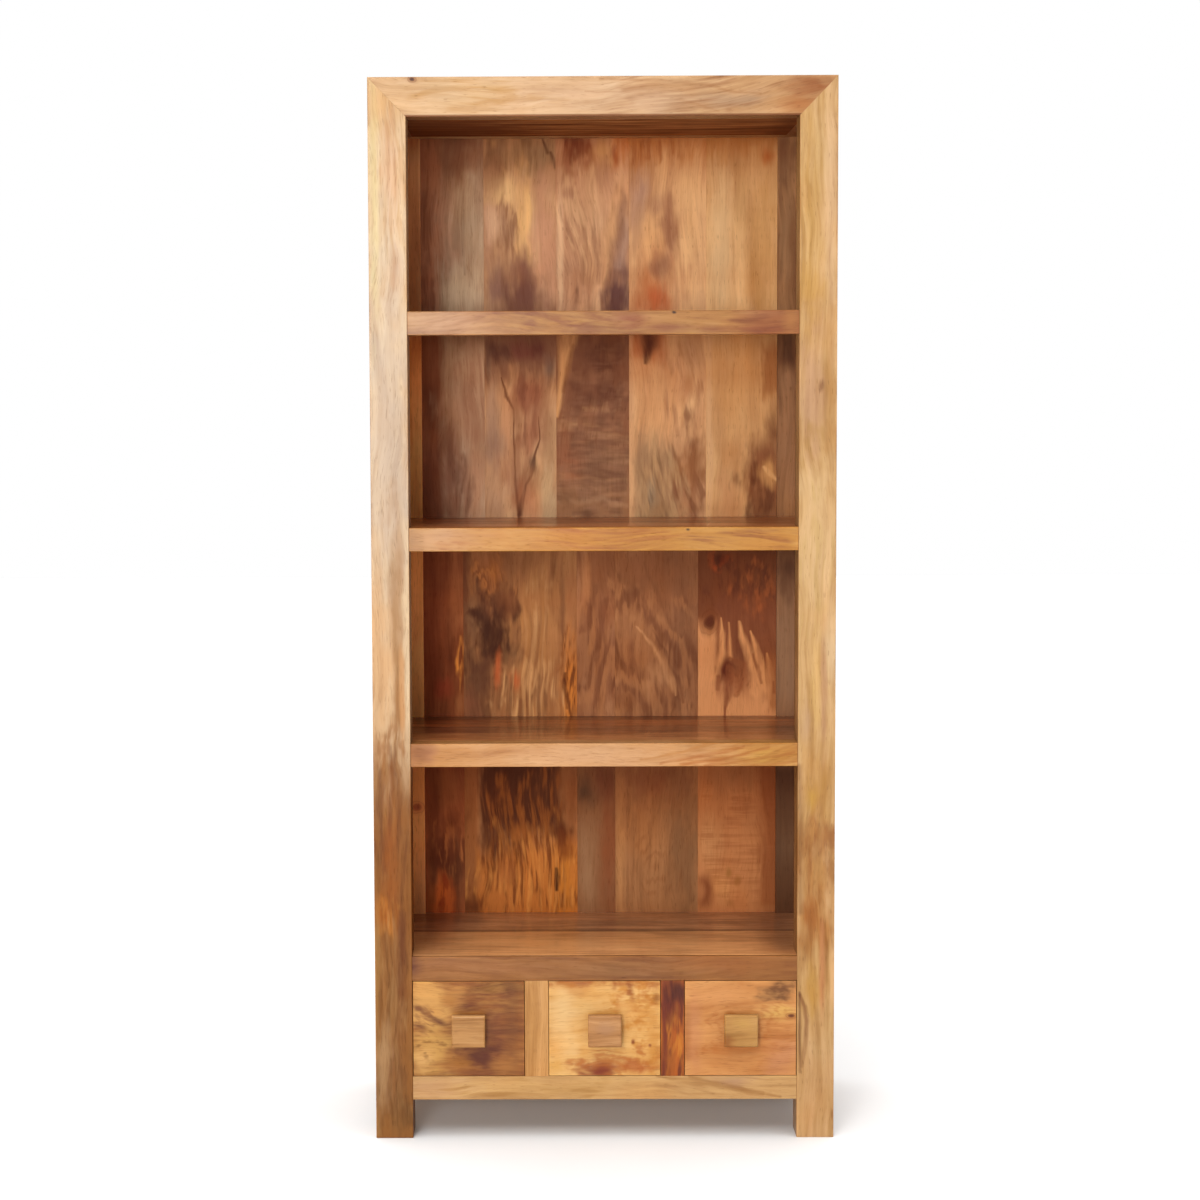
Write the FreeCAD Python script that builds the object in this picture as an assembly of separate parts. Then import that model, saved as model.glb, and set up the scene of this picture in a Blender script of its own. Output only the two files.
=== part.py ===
import FreeCAD, Part
import os
from FreeCAD import Vector as V

# Tall open bookcase in solid hardwood with three drawers at the bottom.
# Millimetres. +Z up, front faces -Y, origin on the floor at the middle of the
# bounding box (which takes in the drawer knobs).

# ------------------------------------------------------------ driving sizes
W = 800.0            # overall width
H = 1836.0           # overall height
D = 400.0            # depth of the carcass, frame front to back panel
KNOB_PROUD = 24.0    # knob stands this far out of the drawer front

POST = 65.0          # front post, square; the rear post is as deep
REAR_POST_T = 36.0   # rear post, thickness across the bookcase
REAR_W = 70.0        # rear post and back stile together, seen from behind
BACK_FRAME_T = 23.0  # back stiles and bottom rear rail, front to back
TOP_T = 67.0         # height of the top frame
LEG = 68.5           # clear height under the bottom rails
RAIL_H = 41.5        # bottom rail height
RAIL_D = 45.0        # bottom rail depth
OPEN_H = 169.0       # drawer opening height
HEAD_H = 43.5        # head rail above the drawers
HEAD_D = 22.0        # head rail depth
HEAD_LAP = 8.0       # face of the head rail in front of the deck boards
DECK_GAP = 3.0       # open joint between the head rail and the deck boards
STILE_W = 41.0       # stiles between drawers
STILE_D = 22.0

SHELF_T = 40.5       # height of a shelf's front lip
SHELF_Z = {"upper": 1399.5, "middle": 1029.0, "lower": 655.0}   # undersides
LIP_D = 45.0         # depth of the shelf lip
BOARD_T = 22.0       # shelf boards behind the lip
DECK_T = 20.0        # deck boards above the drawers
TOP_BOARD_T = 20.0
CEILING_T = 10.0     # boards under the top, flush with the frame
CEILING_REBATE = 8.0
SIDE_T = 20.0        # side panel boards
SIDE_INSET = 10.0    # side panel's outer face behind the posts' outer faces
BACK_T = 13.0        # back panel boards
BACK_REBATE = 10.0
BOTTOM_T = 16.0      # panel under the drawers

TONGUE_T = 8.0
TONGUE_L = 10.0
GROOVE_GAP = 0.5     # end gap of a tongue in its groove

DRAWER_GAP = 1.0     # reveal round a drawer front
DRAWER_FRONT_T = 20.0
DRAWER_SIDE_T = 12.0
DRAWER_SIDE_H = 130.0
DRAWER_LEN = 328.0
DRAWER_BOTTOM_T = 5.0
RUN_GAP = 0.2        # drawer box above the bottom panel

KNOB_W = 58.0        # knob face
KNOB_H = 56.0
KNOB_IN = 7.0        # each side of the knob draws in by this to its base
KNOB_RIM = 9.0       # straight part behind the face
KNOB_EASE = 2.0

DOWEL_R = 4.0
DOWEL_L = 30.0
SCREW_L = 20.0       # countersunk screws of the back panel

# board widths across the panels (positions of the glue lines)
BACK_UPPER_SEAMS = [-213.5, -80.0, 55.5, 198.5]
BACK_LOWER_SEAMS = [-255.5, -43.0, 28.5, 184.0]
SHELF_SEAMS = [98.0, 192.0, 286.0]     # behind the lip, from its back
TOP_SEAMS = [90.0, 180.0]
SIDE_SEAMS = [92.0, 181.0]
DECK_SEAM = 217.0                      # from the front face

# ------------------------------------------------------------ derived
YF = -(D + KNOB_PROUD) / 2 + KNOB_PROUD      # front face
YR = YF + D                                  # rear face
XO = W / 2
XI = XO - POST                               # front posts' inner faces
XP = XO - REAR_POST_T                        # rear posts' inner faces
XR = XO - REAR_W                             # back stiles' inner edges
ZT = H - TOP_T                               # underside of the top frame
Z_RAIL = LEG + RAIL_H                        # top of the bottom rails
Z_HEAD = Z_RAIL + OPEN_H                     # underside of the head rail
Z_DECK = Z_HEAD + HEAD_H                     # top of the deck
YB = YR - BACK_T                             # front face of the back panel
YFP = YF + POST                              # back of the front posts
YRP = YR - POST                              # front of the rear posts
YSF = YR - BACK_FRAME_T                      # front of the back stiles
XS_OUT = XO - SIDE_INSET                     # side panel outer face
XS_IN = XS_OUT - SIDE_T                      # side panel inner face
XT0 = XS_OUT - (SIDE_T - TONGUE_T) / 2       # side panel tongue, outer
XT1 = XT0 - TONGUE_T                         # side panel tongue, inner
OPEN_W = (2 * XI - 2 * STILE_W) / 3.0

parts = {}


def box(x0, x1, y0, y1, z0, z1):
    x0, x1 = min(x0, x1), max(x0, x1)
    y0, y1 = min(y0, y1), max(y0, y1)
    z0, z1 = min(z0, z1), max(z0, z1)
    return Part.makeBox(x1 - x0, y1 - y0, z1 - z0, V(x0, y0, z0))


def prism(points, vec):
    pts = [V(*p) for p in points]
    return Part.Face(Part.makePolygon(pts + [pts[0]])).extrude(V(*vec))


def cyl(centre, direction, r, length):
    d = V(*direction)
    d.normalize()
    c = V(*centre)
    return Part.makeCylinder(r, length, c - d * (length / 2), d)


def fuse(shapes):
    s = shapes[0]
    for o in shapes[1:]:
        s = s.fuse(o)
    return s.removeSplitter()


def cut(s, tools):
    for t in tools:
        s = s.cut(t)
    return s


def solids(shape):
    out = []
    for s in shape.Solids:
        out.append(s if s.Volume > 0 else s.reversed())
    return out


def put(name, *shapes):
    got = []
    for s in shapes:
        got += solids(s)
    parts.setdefault(name, []).extend(got)


# ------------------------------------------------------------ top corners
# At each top corner post, front or rear rail and side rail meet in a three-way
# mitre. a runs in from the side face, b from the front (or rear) face, c down
# from the top. A member keeps the part of the corner where its own run is the
# longest share.
def corner_point(sx, sy, a, b, c):
    y = YF + b if sy < 0 else YR - b
    return (sx * (XO - a), y, H - c)


def wedge(sx, sy, p3, along, length):
    pts = [corner_point(sx, sy, *p) for p in p3]
    end = corner_point(sx, sy, *[v + (length if i == along else 0) for i, v in enumerate(p3[0])])
    vec = tuple(e - s for e, s in zip(end, pts[0]))
    return prism(pts, vec)


A_, B_, C_ = POST, POST, TOP_T


def upright_foot(sx, sy):
    """plan of the uprights in one corner: a square post in front, a flat post
    with the back stile glued to it behind"""
    if sy < 0:
        return box(sx * (XO + 2), sx * (XI - 2), YF - 2, YFP + 2, ZT - 1, H + 1)
    return fuse([box(sx * (XO + 2), sx * XP, YRP - 2, YR + 2, ZT - 1, H + 1),
                 box(sx * XP, sx * (XI - 2), YSF, YR + 2, ZT - 1, H + 1)])


def cut_for_rail(sx, sy):
    """what leaves the front or rear rail at one end: everything not a-longest"""
    return [
        wedge(sx, sy, [(0, -1, 0), (0, -1, C_), (A_, -1, C_)], 1, B_ + 2).common(upright_foot(sx, sy)),
        wedge(sx, sy, [(0, 0, -1), (0, B_, -1), (A_, B_, -1)], 2, C_ + 2),
    ]


def cut_for_side(sx, sy):
    return [
        wedge(sx, sy, [(0, 0, -1), (A_, 0, -1), (A_, B_, -1)], 2, C_ + 2),
        wedge(sx, sy, [(-1, 0, 0), (-1, 0, C_), (-1, B_, C_)], 0, A_ + 2).common(upright_foot(sx, sy)),
    ]


def cut_for_post(sx, sy):
    return [
        wedge(sx, sy, [(0, -1, 0), (A_, -1, 0), (A_, -1, C_)], 1, B_ + 2),
        wedge(sx, sy, [(-1, 0, 0), (-1, B_, 0), (-1, B_, C_)], 0, A_ + 2),
    ]


def corner_dowels(sx, sy):
    """(rail/post, rail/side, post/side) dowels of one corner"""
    out = []
    for pair, c0, d in (
        ("rp", (43.3, 21.7, 44.6) if sy < 0 else (22.0, 10.0, 22.7), (1, 0, -1)),
        ("rs", (43.3, 43.3, 22.3), (1, -1, 0)),
        ("ps", (21.7, 43.3, 44.6), (0, 1, -1)),
    ):
        p = corner_point(sx, sy, *c0)
        q = corner_point(sx, sy, *[c + e for c, e in zip(c0, d)])
        out.append((pair, cyl(p, tuple(b - a for a, b in zip(p, q)), DOWEL_R, DOWEL_L)))
    return out


DW = {(sx, sy): corner_dowels(sx, sy) for sx in (-1, 1) for sy in (-1, 1)}


def dowels_of(kinds, keys):
    return [s for k in keys for kind, s in DW[k] if kind in kinds]


# ------------------------------------------------------------ posts
def groove_post(sx, sy):
    y0, y1 = (YFP - TONGUE_L, YFP) if sy < 0 else (YRP, YRP + TONGUE_L)
    return box(sx * XT0, sx * XT1, y0, y1, Z_RAIL, ZT)


TEN_L, TEN_T, TEN_H = 28.0, 12.0, 20.0     # bottom rail tenons


def rail_tenon_box(sx, y_mid, x_face):
    zc = LEG + RAIL_H / 2
    return box(sx * x_face, sx * (x_face + TEN_L), y_mid - TEN_T / 2, y_mid + TEN_T / 2, zc - TEN_H / 2, zc + TEN_H / 2)


Y_BF = YF + RAIL_D / 2          # middle of the bottom front rail
Y_BR = YR - BACK_FRAME_T / 2    # middle of the bottom rear rail
X_BS = XO - RAIL_D / 2          # middle of the bottom side rails


SIDE_TEN = 18.0


def side_tenon_box(sx, sy):
    zc = LEG + RAIL_H / 2
    y0, y1 = (YFP - SIDE_TEN, YFP) if sy < 0 else (YRP, YRP + SIDE_TEN)
    return box(sx * (X_BS + 6 + 9), sx * (X_BS - 6 + 9), y0, y1, zc - TEN_H / 2, zc + TEN_H / 2)


def lip_dowel(sx, name, k):
    z = SHELF_Z[name] + SHELF_T / 2
    y = YF + (14.0 if k == 0 else 33.0)
    return cyl((sx * XI, y, z), (1, 0, 0), DOWEL_R, DOWEL_L)


LIP_DOWELS = {(sx, n, k): lip_dowel(sx, n, k) for sx in (-1, 1) for n in SHELF_Z for k in (0, 1)}


def head_tenon(sx):
    zc = Z_HEAD + HEAD_H / 2
    return box(sx * XI, sx * (XI + 20), YF + 3, YF + 8.5, zc - 15, zc + 15)


CEILING_SEAT = box(-XI - CEILING_REBATE, XI + CEILING_REBATE, YFP - CEILING_REBATE, YRP + CEILING_REBATE,
                   ZT, ZT + CEILING_T)

for sx, side in ((-1, "left"), (1, "right")):
    p = box(sx * XI, sx * XO, YF, YFP, 0, H)
    p = cut(p, cut_for_post(sx, -1) + [groove_post(sx, -1)])
    p = cut(p, [rail_tenon_box(sx, Y_BF, XI), side_tenon_box(sx, -1), head_tenon(sx)])
    p = cut(p, [d for (s, n, k), d in LIP_DOWELS.items() if s == sx])
    p = cut(p, dowels_of(("rp", "ps"), [(sx, -1)]) + [CEILING_SEAT])
    put("front_post_" + side, p)

    q = box(sx * XP, sx * XO, YRP, YR, 0, H)
    q = cut(q, cut_for_post(sx, 1) + [groove_post(sx, 1)])
    q = cut(q, [side_tenon_box(sx, 1)])
    q = cut(q, dowels_of(("rp", "ps"), [(sx, 1)]))
    put("rear_post_" + side, q)

    b = box(sx * XR, sx * XP, YSF, YR, 0, ZT)
    b = fuse([b, cut(box(sx * XI, sx * XP, YSF, YR, ZT, H), cut_for_post(sx, 1))])
    b = cut(b, [box(sx * XR, sx * (XR + BACK_REBATE), YB, YR, LEG + RAIL_H - BACK_REBATE, ZT)])
    b = cut(b, [rail_tenon_box(sx, Y_BR, XR)])
    put("back_stile_" + side, b)

# ------------------------------------------------------------ top frame
ZG0, ZG1 = H - TOP_BOARD_T + 6, H - TOP_BOARD_T + 6 + TONGUE_T
for sy, name in ((-1, "top_front_rail"), (1, "top_rear_rail")):
    y0, y1 = (YF, YFP) if sy < 0 else (YRP, YR)
    r = box(-XO, XO, y0, y1, ZT, H)
    r = cut(r, cut_for_rail(-1, sy) + cut_for_rail(1, sy))
    g = box(-XI, XI, YFP - TONGUE_L, YFP, ZG0, ZG1) if sy < 0 else box(-XI, XI, YRP, YRP + TONGUE_L, ZG0, ZG1)
    r = cut(r, [g])
    if sy > 0:
        r = cut(r, [box(-XI, XI, YB, YR, ZT, ZT + BACK_REBATE)])
    r = cut(r, dowels_of(("rp", "rs"), [(-1, sy), (1, sy)]) + [CEILING_SEAT])
    put(name, r)
for sx, side in ((-1, "left"), (1, "right")):
    r = box(sx * XI, sx * XO, YF, YR, ZT, H)
    r = cut(r, cut_for_side(sx, -1) + cut_for_side(sx, 1))
    r = cut(r, [box(sx * XI, sx * (XI + TONGUE_L), YFP, YRP, ZG0, ZG1)])
    r = cut(r, [box(sx * XT0, sx * XT1, YFP, YRP, ZT, ZT + TONGUE_L)])
    r = cut(r, dowels_of(("rs", "ps"), [(sx, -1), (sx, 1)]) + [CEILING_SEAT])
    put("top_side_rail_" + side, r)
put("frame_dowels", *[s for k in DW for _, s in DW[k]])

# top boards, tongued into the frame
edges = [YFP] + [YFP + s for s in TOP_SEAMS] + [YRP]
for i in range(len(edges) - 1):
    y0, y1 = edges[i], edges[i + 1]
    b = box(-XI, XI, y0, y1, H - TOP_BOARD_T, H)
    ty0 = y0 - (TONGUE_L - GROOVE_GAP) if i == 0 else y0
    ty1 = y1 + (TONGUE_L - GROOVE_GAP) if i == len(edges) - 2 else y1
    t = box(-XI - TONGUE_L + GROOVE_GAP, XI + TONGUE_L - GROOVE_GAP, y0, y1, ZG0, ZG1)
    t2 = box(-XI, XI, ty0, ty1, ZG0, ZG1)
    put("top_panel", fuse([b, t, t2]))

# boards that close the top frame from below, flush with its underside
edges = [YFP - CEILING_REBATE + 0.5, YFP + 88.0, YFP + 176.0, YRP + CEILING_REBATE - 0.5]
for y0, y1 in zip(edges, edges[1:]):
    put("ceiling_boards", box(-XI - CEILING_REBATE + 0.5, XI + CEILING_REBATE - 0.5, y0, y1, ZT, ZT + CEILING_T))

# ------------------------------------------------------------ sides
for sx, side in ((-1, "left"), (1, "right")):
    edges = [YFP] + [YFP + s for s in SIDE_SEAMS] + [YRP]
    for i in range(len(edges) - 1):
        y0, y1 = edges[i], edges[i + 1]
        b = box(sx * XS_OUT, sx * XS_IN, y0, y1, Z_RAIL, ZT)
        ty0 = y0 - (TONGUE_L - GROOVE_GAP) if i == 0 else y0
        ty1 = y1 + (TONGUE_L - GROOVE_GAP) if i == len(edges) - 2 else y1
        t = box(sx * XT0, sx * XT1, y0, y1, Z_RAIL - TONGUE_L + GROOVE_GAP, ZT + TONGUE_L - GROOVE_GAP)
        t2 = box(sx * XT0, sx * XT1, ty0, ty1, Z_RAIL, ZT)
        put("side_panel_" + side, fuse([b, t, t2]))
    r = box(sx * XO, sx * (XO - RAIL_D), YFP, YRP, LEG, Z_RAIL)
    r = fuse([r, side_tenon_box(sx, -1), side_tenon_box(sx, 1)])
    r = cut(r, [box(sx * XT0, sx * XT1, YFP, YRP, Z_RAIL - TONGUE_L, Z_RAIL)])
    put("bottom_side_rail_" + side, r)

# ------------------------------------------------------------ bottom rails
STUB = 10.0


def stile_tenon(x_mid, lower):
    if lower:
        return box(x_mid - 11, x_mid + 11, YF + 7, YF + 15, Z_RAIL - STUB, Z_RAIL)
    return box(x_mid - 11, x_mid + 11, YF + 3, YF + 8.5, Z_HEAD, Z_HEAD + STUB)


STILE_X = {"left": -(OPEN_W / 2 + STILE_W / 2), "right": OPEN_W / 2 + STILE_W / 2}

r = box(-XI, XI, YF, YF + RAIL_D, LEG, Z_RAIL)
r = fuse([r] + [rail_tenon_box(sx, Y_BF, XI) for sx in (-1, 1)])
r = cut(r, [stile_tenon(x, True) for x in STILE_X.values()])
put("bottom_front_rail", r)
r = box(-XR, XR, YSF, YR, LEG, Z_RAIL)
r = fuse([r] + [rail_tenon_box(sx, Y_BR, XR) for sx in (-1, 1)])
r = cut(r, [box(-XR, XR, YB, YR, Z_RAIL - BACK_REBATE, Z_RAIL)])
put("bottom_rear_rail", r)

# ------------------------------------------------------------ shelves
def plan_cut(y0, y1, z0, z1):
    """a board between the side panels, cut back round the posts"""
    b = box(-XS_IN, XS_IN, y0, y1, z0, z1)
    tools = []
    for sx in (-1, 1):
        tools.append(box(sx * XI, sx * XO, YF - 1, YFP, z0 - 1, z1 + 1))
        tools.append(box(sx * XP, sx * XO, YRP, YR + 1, z0 - 1, z1 + 1))
        tools.append(box(sx * XR, sx * XO, YSF, YR + 1, z0 - 1, z1 + 1))
    return cut(b, tools)


for name, z in SHELF_Z.items():
    lip = box(-XI, XI, YF, YF + LIP_D, z, z + SHELF_T)
    # tongue of the first board runs in a groove in the lip
    zt = z + SHELF_T - BOARD_T / 2
    lip = cut(lip, [box(-XI, XI, YF + LIP_D - TONGUE_L, YF + LIP_D, zt - 4, zt + 4)])
    lip = cut(lip, [d for (s, n, k), d in LIP_DOWELS.items() if n == name])
    put("shelf_lip_" + name, lip)
    edges = [YF + LIP_D] + [YF + LIP_D + s for s in SHELF_SEAMS] + [YB]
    for i in range(len(edges) - 1):
        b = plan_cut(edges[i], edges[i + 1], z + SHELF_T - BOARD_T, z + SHELF_T)
        if i == 0:
            b = fuse([b, box(-XI, XI, YF + LIP_D - TONGUE_L + GROOVE_GAP, YF + LIP_D, zt - 4, zt + 4)])
        put("shelf_boards_" + name, b)
put("frame_dowels", *LIP_DOWELS.values())

# ------------------------------------------------------------ deck and drawer frame
head = box(-XI, XI, YF, YF + HEAD_D, Z_HEAD, Z_DECK)
head = cut(head, [box(-XI, XI, YF + HEAD_LAP, YF + HEAD_D, Z_DECK - DECK_T, Z_DECK)])
head = fuse([head] + [head_tenon(sx) for sx in (-1, 1)])
head = cut(head, [stile_tenon(x, False) for x in STILE_X.values()])
put("drawer_head_rail", head)
put("deck_boards", plan_cut(YF + HEAD_LAP + DECK_GAP, YF + DECK_SEAM, Z_DECK - DECK_T, Z_DECK))
put("deck_boards", plan_cut(YF + DECK_SEAM, YB, Z_DECK - DECK_T, Z_DECK))

PART_T = 20.0
for side, x in STILE_X.items():
    s = box(x - STILE_W / 2, x + STILE_W / 2, YF, YF + STILE_D, Z_RAIL, Z_HEAD)
    s = fuse([s, stile_tenon(x, True), stile_tenon(x, False)])
    put("drawer_stile_" + side, s)
    put("drawer_partition_" + side, box(x - PART_T / 2, x + PART_T / 2, YF + STILE_D, YB, Z_RAIL, Z_DECK - DECK_T))

# bottom panel under the drawers, on cleats
XC = XO - RAIL_D
bp = box(-XC, XC, YF + RAIL_D, YSF, Z_RAIL - BOTTOM_T, Z_RAIL)
for sx in (-1, 1):
    bp = cut(bp, [box(sx * XI, sx * XO, YF, YFP, 0, H)])
put("bottom_panel", bp)
CL = 16.0
zc1 = Z_RAIL - BOTTOM_T
put("bottom_cleats",
    box(-XI + 30, XI - 30, YF + RAIL_D, YF + RAIL_D + CL, zc1 - CL, zc1),
    box(-XR + 30, XR - 30, YSF - CL, YSF, zc1 - CL, zc1),
    box(-XC, -XC + CL, YFP + 10, YRP - 10, zc1 - CL, zc1),
    box(XC, XC - CL, YFP + 10, YRP - 10, zc1 - CL, zc1))

# guides beside the drawers, kickers above their sides, stops behind them
G_H = 20.0
Z_KICK = Z_RAIL + RUN_GAP + DRAWER_SIDE_H + 2.5
for node, z in (("drawer_guides", Z_RAIL), ("drawer_kickers", Z_KICK)):
    for sx in (-1, 1):
        put(node, box(sx * XI, sx * XS_IN, YFP, YRP, z, z + G_H))
        xs = OPEN_W / 2 + STILE_W / 2
        put(node, box(sx * (xs - STILE_W / 2), sx * (xs - PART_T / 2), YF + STILE_D, YRP, z, z + G_H))
        put(node, box(sx * (xs + PART_T / 2), sx * (xs + STILE_W / 2), YF + STILE_D, YRP, z, z + G_H))

Y_END = YF + DRAWER_LEN
CENTRES = {"left": -(OPEN_W + STILE_W), "middle": 0.0, "right": OPEN_W + STILE_W}
for x in CENTRES.values():
    put("drawer_stops", box(x - 22, x + 22, Y_END + 0.5, Y_END + 20, Z_RAIL, Z_RAIL + 16))

# ------------------------------------------------------------ back
Z_JOINT = SHELF_Z["middle"] + SHELF_T - BOARD_T / 2
XBK = XR + BACK_REBATE
for node, z0, z1, seams in (
    ("back_panel_upper", Z_JOINT, ZT + BACK_REBATE, BACK_UPPER_SEAMS),
    ("back_panel_lower", Z_RAIL - BACK_REBATE, Z_JOINT, BACK_LOWER_SEAMS),
):
    xs = [-XBK] + seams + [XBK]
    for i in range(len(xs) - 1):
        b = box(xs[i], xs[i + 1], YB, YR, z0, z1)
        if z1 > ZT:
            b = cut(b, [box(sx * XI, sx * XO, YB - 1, YR + 1, ZT, z1 + 1) for sx in (-1, 1)])
        put(node, b)


def screw_holes(x, z):
    """countersunk wood screw from the back, its hole through the panel and into the wood behind"""
    shank = Part.makeCylinder(1.75, SCREW_L, V(x, YR - 0.3, z), V(0, -1, 0))
    head = Part.makeCone(3.5, 1.75, 2.2, V(x, YR - 0.3, z), V(0, -1, 0))
    body = shank.fuse(head).removeSplitter()
    hole = body.fuse(Part.makeCylinder(3.5, 1.0, V(x, YR + 0.7, z), V(0, -1, 0)))
    slot = fuse([box(x - 2.2, x + 2.2, YR - 1.4, YR + 1, z - 0.45, z + 0.45),
                 box(x - 0.45, x + 0.45, YR - 1.4, YR + 1, z - 2.2, z + 2.2)])
    return body.cut(slot), hole


screws, holes = [], []
spots = []
for sx in (-1, 1):
    for z in (190, 500, 860, 1180, 1500, 1730):
        spots.append((sx * (XR + 5.0), z))
for z, xs in ((ZT + 5.0, (-140, 10, 130)), (Z_RAIL - 5.0, (-150, 60, 240)),
              (SHELF_Z["upper"] + SHELF_T - 11, (-145, -10, 125)),
              (SHELF_Z["lower"] + SHELF_T - 11, (-150, 70, 250))):
    for x in xs:
        spots.append((x, z))
for x, z in spots:
    s, h = screw_holes(x, z)
    screws.append(s)
    holes.append(h)


def drill(name, tools):
    out = []
    for s in parts[name]:
        near = [t for t in tools if s.BoundBox.intersect(t.BoundBox)]
        for t in near:
            s = s.cut(t)
        out += solids(s)
    parts[name] = out


for n in ("back_panel_upper", "back_panel_lower", "back_stile_left", "back_stile_right", "top_rear_rail",
          "bottom_rear_rail", "shelf_boards_upper", "shelf_boards_lower"):
    drill(n, holes)
put("back_screws", *screws)

# ------------------------------------------------------------ drawers
BLIND = 12.0                       # tails into the drawer front
Z0 = Z_RAIL + RUN_GAP
Z_SIDE = Z0 + DRAWER_SIDE_H
ZB = Z0 + 9.8                      # underside of the drawer bottom
FRONT_TAILS = [(Z0 + 17, Z0 + 47), (Z0 + 57, Z0 + 87), (Z0 + 97, Z0 + 125)]
BACK_Z = (ZB + DRAWER_BOTTOM_T + 0.3, Z_SIDE - 5)
REAR_TAILS = [(BACK_Z[0] + 7, BACK_Z[0] + 35), (BACK_Z[0] + 45, BACK_Z[0] + 73), (BACK_Z[0] + 82, BACK_Z[0] + 102)]
GROOVE = 5.0


def tail(x0, x1, ya, yb, za, zb):
    """dovetail: full height at yb (its wide end), narrower at ya"""
    t = 2.2
    pts = [(x0, ya, za + t), (x0, yb, za), (x0, yb, zb), (x0, ya, zb - t)]
    return prism(pts, (x1 - x0, 0, 0))


for name, xc in CENTRES.items():
    xl, xr = xc - OPEN_W / 2 + DRAWER_GAP, xc + OPEN_W / 2 - DRAWER_GAP
    yb = YF + DRAWER_FRONT_T
    front = box(xl, xr, YF, yb, Z_RAIL + DRAWER_GAP, Z_HEAD - DRAWER_GAP)
    back = box(xl, xr, Y_END - DRAWER_SIDE_T, Y_END, BACK_Z[0], BACK_Z[1])
    sides = {}
    for sx, side in ((-1, "left"), (1, "right")):
        xo = xl if sx < 0 else xr
        xi = xo - sx * DRAWER_SIDE_T
        body = box(xo, xi, yb, Y_END - DRAWER_SIDE_T, Z0, Z_SIDE)
        rear_strip = box(xo, xi, Y_END - DRAWER_SIDE_T, Y_END, Z0, BACK_Z[0])
        xs0, xs1 = min(xo, xi), max(xo, xi)
        ft = [tail(xs0, xs1, yb, yb - BLIND, a, b) for a, b in FRONT_TAILS]
        rt = [tail(xs0, xs1, Y_END - DRAWER_SIDE_T, Y_END, a, b) for a, b in REAR_TAILS]
        front = cut(front, ft)
        back = cut(back, rt)
        s = fuse([body, rear_strip] + ft + rt)
        s = cut(s, [box(xi, xi + sx * GROOVE, YF, Y_END + 1, ZB, ZB + DRAWER_BOTTOM_T)])
        sides[side] = s
    front = cut(front, [box(xl + DRAWER_SIDE_T - GROOVE, xr - DRAWER_SIDE_T + GROOVE, yb - GROOVE, yb + 1, ZB, ZB + DRAWER_BOTTOM_T)])
    bottom = box(xl + DRAWER_SIDE_T - GROOVE + 0.3, xr - DRAWER_SIDE_T + GROOVE - 0.3, yb - GROOVE + 0.3, Y_END, ZB, ZB + DRAWER_BOTTOM_T)
    # knob: square face, straight rim, sides drawn in to a smaller base
    zk = (Z_RAIL + Z_HEAD) / 2
    w, h, n, e = KNOB_W / 2, KNOB_H / 2, KNOB_IN, KNOB_EASE
    yk = YF - KNOB_PROUD

    def sq(y, d):
        a, c = w - d, h - d
        return Part.makePolygon([V(xc - a, y, zk - c), V(xc + a, y, zk - c), V(xc + a, y, zk + c), V(xc - a, y, zk + c), V(xc - a, y, zk - c)])

    knob = fuse([Part.makeLoft([sq(yk, e), sq(yk + e, 0)], True, True),
                 Part.makeLoft([sq(yk + e, 0), sq(yk + e + KNOB_RIM, 0)], True, True),
                 Part.makeLoft([sq(yk + e + KNOB_RIM, 0), sq(YF, n)], True, True)])
    hole_f = Part.makeCylinder(2.25, DRAWER_FRONT_T + 2, V(xc, YF - 1, zk), V(0, 1, 0))
    hole_k = Part.makeCylinder(2.0, 16.2, V(xc, YF - 16.2, zk), V(0, 1, 0))
    knob = knob.cut(hole_k)
    front = front.cut(hole_f)
    shank = Part.makeCylinder(2.0, DRAWER_FRONT_T + 16, V(xc, YF - 16, zk), V(0, 1, 0))
    hd = Part.makeCylinder(4.5, 3.0, V(xc, yb, zk), V(0, 1, 0))
    screw = shank.fuse(hd).removeSplitter()
    screw = screw.cut(box(xc - 3, xc + 3, yb + 1.8, yb + 4, zk - 0.5, zk + 0.5)).cut(box(xc - 0.5, xc + 0.5, yb + 1.8, yb + 4, zk - 3, zk + 3))
    put("drawer_front_" + name, front)
    put("drawer_side_l_" + name, sides["left"])
    put("drawer_side_r_" + name, sides["right"])
    put("drawer_back_" + name, back)
    put("drawer_bottom_" + name, bottom)
    put("drawer_knob_" + name, knob)
    put("knob_screw_" + name, screw)

# ------------------------------------------------------------ write
os.makedirs("parts", exist_ok=True)
for old in os.listdir("parts"):
    if old.endswith(".step") and old[:-5] not in parts:
        os.remove(os.path.join("parts", old))
for name, ss in sorted(parts.items()):
    shape = ss[0] if len(ss) == 1 else Part.makeCompound(ss)
    bad = [s for s in ss if not s.isValid() or s.Volume <= 0]
    shape.exportStep("parts/%s.step" % name)
    bb = shape.BoundBox
    print("%-26s solids %2d vol %9.1f cm3  x %7.1f %7.1f  y %7.1f %7.1f  z %7.1f %7.1f%s" % (
        name, len(ss), sum(s.Volume for s in ss) / 1000, bb.XMin, bb.XMax, bb.YMin, bb.YMax, bb.ZMin, bb.ZMax, "  BAD" if bad else ""))
print(len(parts), "nodes")
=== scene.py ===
import math
import random

import bpy
from mathutils import Matrix, Vector

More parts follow.
